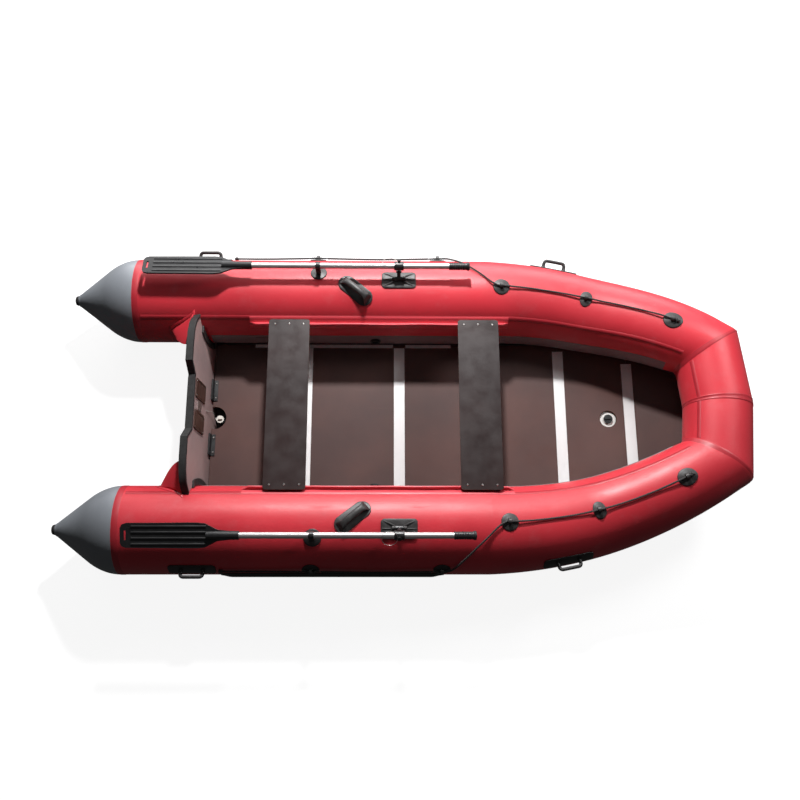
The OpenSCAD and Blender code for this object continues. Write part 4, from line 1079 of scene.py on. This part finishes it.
handles = Shape()
HANDLE_ANGLE = 160
HANDLE_SPOTS = (-0.994, 0.732)
HANDLE_LEAN = radians(2.3)  # the forward one follows the turning tube
half_loop = [(0.03, 0.039), (0.043, 0.0378), (0.05, 0.031), (0.052, 0.02), (0.052, 0.002)]
handle_loop = [(a, 0, h) for a, h in mirrored(half_loop, (0, 0.039))]
for x in HANDLE_SPOTS:
    handles.pad(x, HANDLE_ANGLE, lambda i: rounded_rect(0.22 - 2 * i, 0.074 - 2 * i, 0.018 - 0.4 * i),
                plate_steps(inner=0.035))
    place = hull_frame(x, HANDLE_ANGLE)
    if x > TURN_X:
        place = place @ Matrix.Rotation(HANDLE_LEAN, 4, "Y")
    handles.pipe(spline([place @ Vector(p) for p in handle_loop], 0.005),
                 lambda t: 0.0084 + 0.003 * clamp((abs(t - 0.5) - 0.43) / 0.07), 20)
handles.mirror().make("side_handle_mouldings", RUBBER, nodes=["d_handles"], slot="black_rubber", sharp=40)

# the grab line's way through the eyes: x, degrees round the tube, and millimetres above its skin
LINE_STOPS = [(1.351, 90, 14), (1.337, 90, 14), (1.309, 90, 14), (1.27, 90, 13), (1.19, 90, 9), (1.1, 90, 9),
              (1.01, 90, 9.5), (0.961, 90, 13), (0.925, 90, 15.2), (0.897, 90, 15.2), (0.861, 90, 13),
              (0.76, 90, 8.5), (0.62, 90, 8.5), (0.527, 90, 12.5), (0.489, 90, 14), (0.461, 90, 14),
              (0.425, 95, 12.5), (0.375, 108, 9), (0.325, 121, 9), (0.275, 136, 9), (0.22, 154, 12.5),
              (0.181, 160, 14), (0.153, 160, 14), (0.115, 160, 12.5), (-0.14, 163, 10), (-0.392, 160, 12.5),
              (-0.43, 160, 14), (-0.458, 160, 14), (-0.496, 160, 12.5), (-0.69, 161, 9), (-0.872, 161, 9)]
ROPE_LAY = 0.034  # length of one turn of a strand
STRAND_OFF, STRAND_R = 0.00235, 0.0027
middle_line = spline([hull(x, a, h / 1000) for x, a, h in LINE_STOPS], 0.005)
rope = Shape()
lengths = [0.0]
for p, q in zip(middle_line, middle_line[1:]):
    lengths.append(lengths[-1] + (q - p).length)
turns = frames_along(middle_line)
for strand in range(3):
    path = []
    for p, (u, v), run in zip(middle_line, turns, lengths):
        t = 2 * pi * (run / ROPE_LAY + strand / 3)
        path.append(p + (u * cos(t) + v * sin(t)) * STRAND_OFF)
    rope.pipe(path, STRAND_R, 8)
for end, beside in ((middle_line[0], middle_line[1]), (middle_line[-1], middle_line[-2])):
    d = (beside - end).normalized()  # whipping wound on each end, from the end inwards
    u = d.cross(UP).normalized()
    v = u.cross(d)
    coil = [end + d * (0.004 + 0.0045 * t) + (u * cos(4.6 * t) + v * sin(4.6 * t)) * 0.0052
            for t in [i / 5 for i in range(0, 16)]]
    rope.pipe(spline(coil, 0.002), 0.0042, 10)
rope.mirror().make("grab_line_ropes", ROPE, nodes=["grab_lines"], slot="black_rope", sharp=80)


# ---- Light, floor and backdrop ----
def area(name, place, target, power, size, size_y=None):
    data = bpy.data.lights.new(name, "AREA")
    data.energy = power
    data.shape = "RECTANGLE" if size_y else "DISK"
    data.size = size
    if size_y:
        data.size_y = size_y
    lamp = bpy.data.objects.new(name, data)
    lamp.location = place
    lamp.rotation_euler = (Vector(target) - Vector(place)).to_track_quat("-Z", "Y").to_euler()
    SCENE.collection.objects.link(lamp)


area("key_light", (-0.1, 3.0, 3.25), (0.0, 0.0, 0.2), 255, 0.35)
area("far_side_glare", (0.0, 3.2, 0.7), (0.0, 0.0, 0.5), 120, 5.0, 1.6)
area("bow_fill", (3.0, 1.6, 2.6), (1.35, 0.0, 0.3), 60, 1.0)
area("overhead_fill", (0.0, 0.6, 4.5), (0.0, 0.0, 0.0), 5, 3.0, 3.0)

world = bpy.data.worlds.new("studio")
world.use_nodes = True
world.node_tree.nodes["Background"].inputs["Color"].default_value = (1, 1, 1, 1)
world.node_tree.nodes["Background"].inputs["Strength"].default_value = 0.045
SCENE.world = world


def plain(name, colour, glow):
    """Pale floor that glows a little, so that it stays pale away from the lamps."""
    f = Finish(name)
    cloudy = f.mix(f.span(f.noise(1.2, 2), 0.3, 0.7, 0, 0.02), colour, (0.9, 0.9, 0.9, 1))
    return f.done(cloudy, 0.9, Emission_Color=(1, 1, 1, 1), Emission_Strength=glow)


# the floor turns up into a wall, so no view sees past its edge
FLOOR_PLACES = (-61, -60, -9, 0, 9, 60, 61)
WALL_AT, WALL_TOP, FLOOR_LEVEL = 60, 60, -0.0015
ground = Shape().grid([[Vector((x, y, WALL_TOP if max(abs(x), abs(y)) > WALL_AT else FLOOR_LEVEL))
                        for x in FLOOR_PLACES] for y in reversed(FLOOR_PLACES)])
ground_piece = ground.make("studio_floor", plain("studio_floor_finish", (0.3, 0.3, 0.3, 1), 0.9), body=None)
ground_piece.visible_diffuse = False
ground_piece.visible_glossy = False
SCENE.view_settings.view_transform = "Standard"
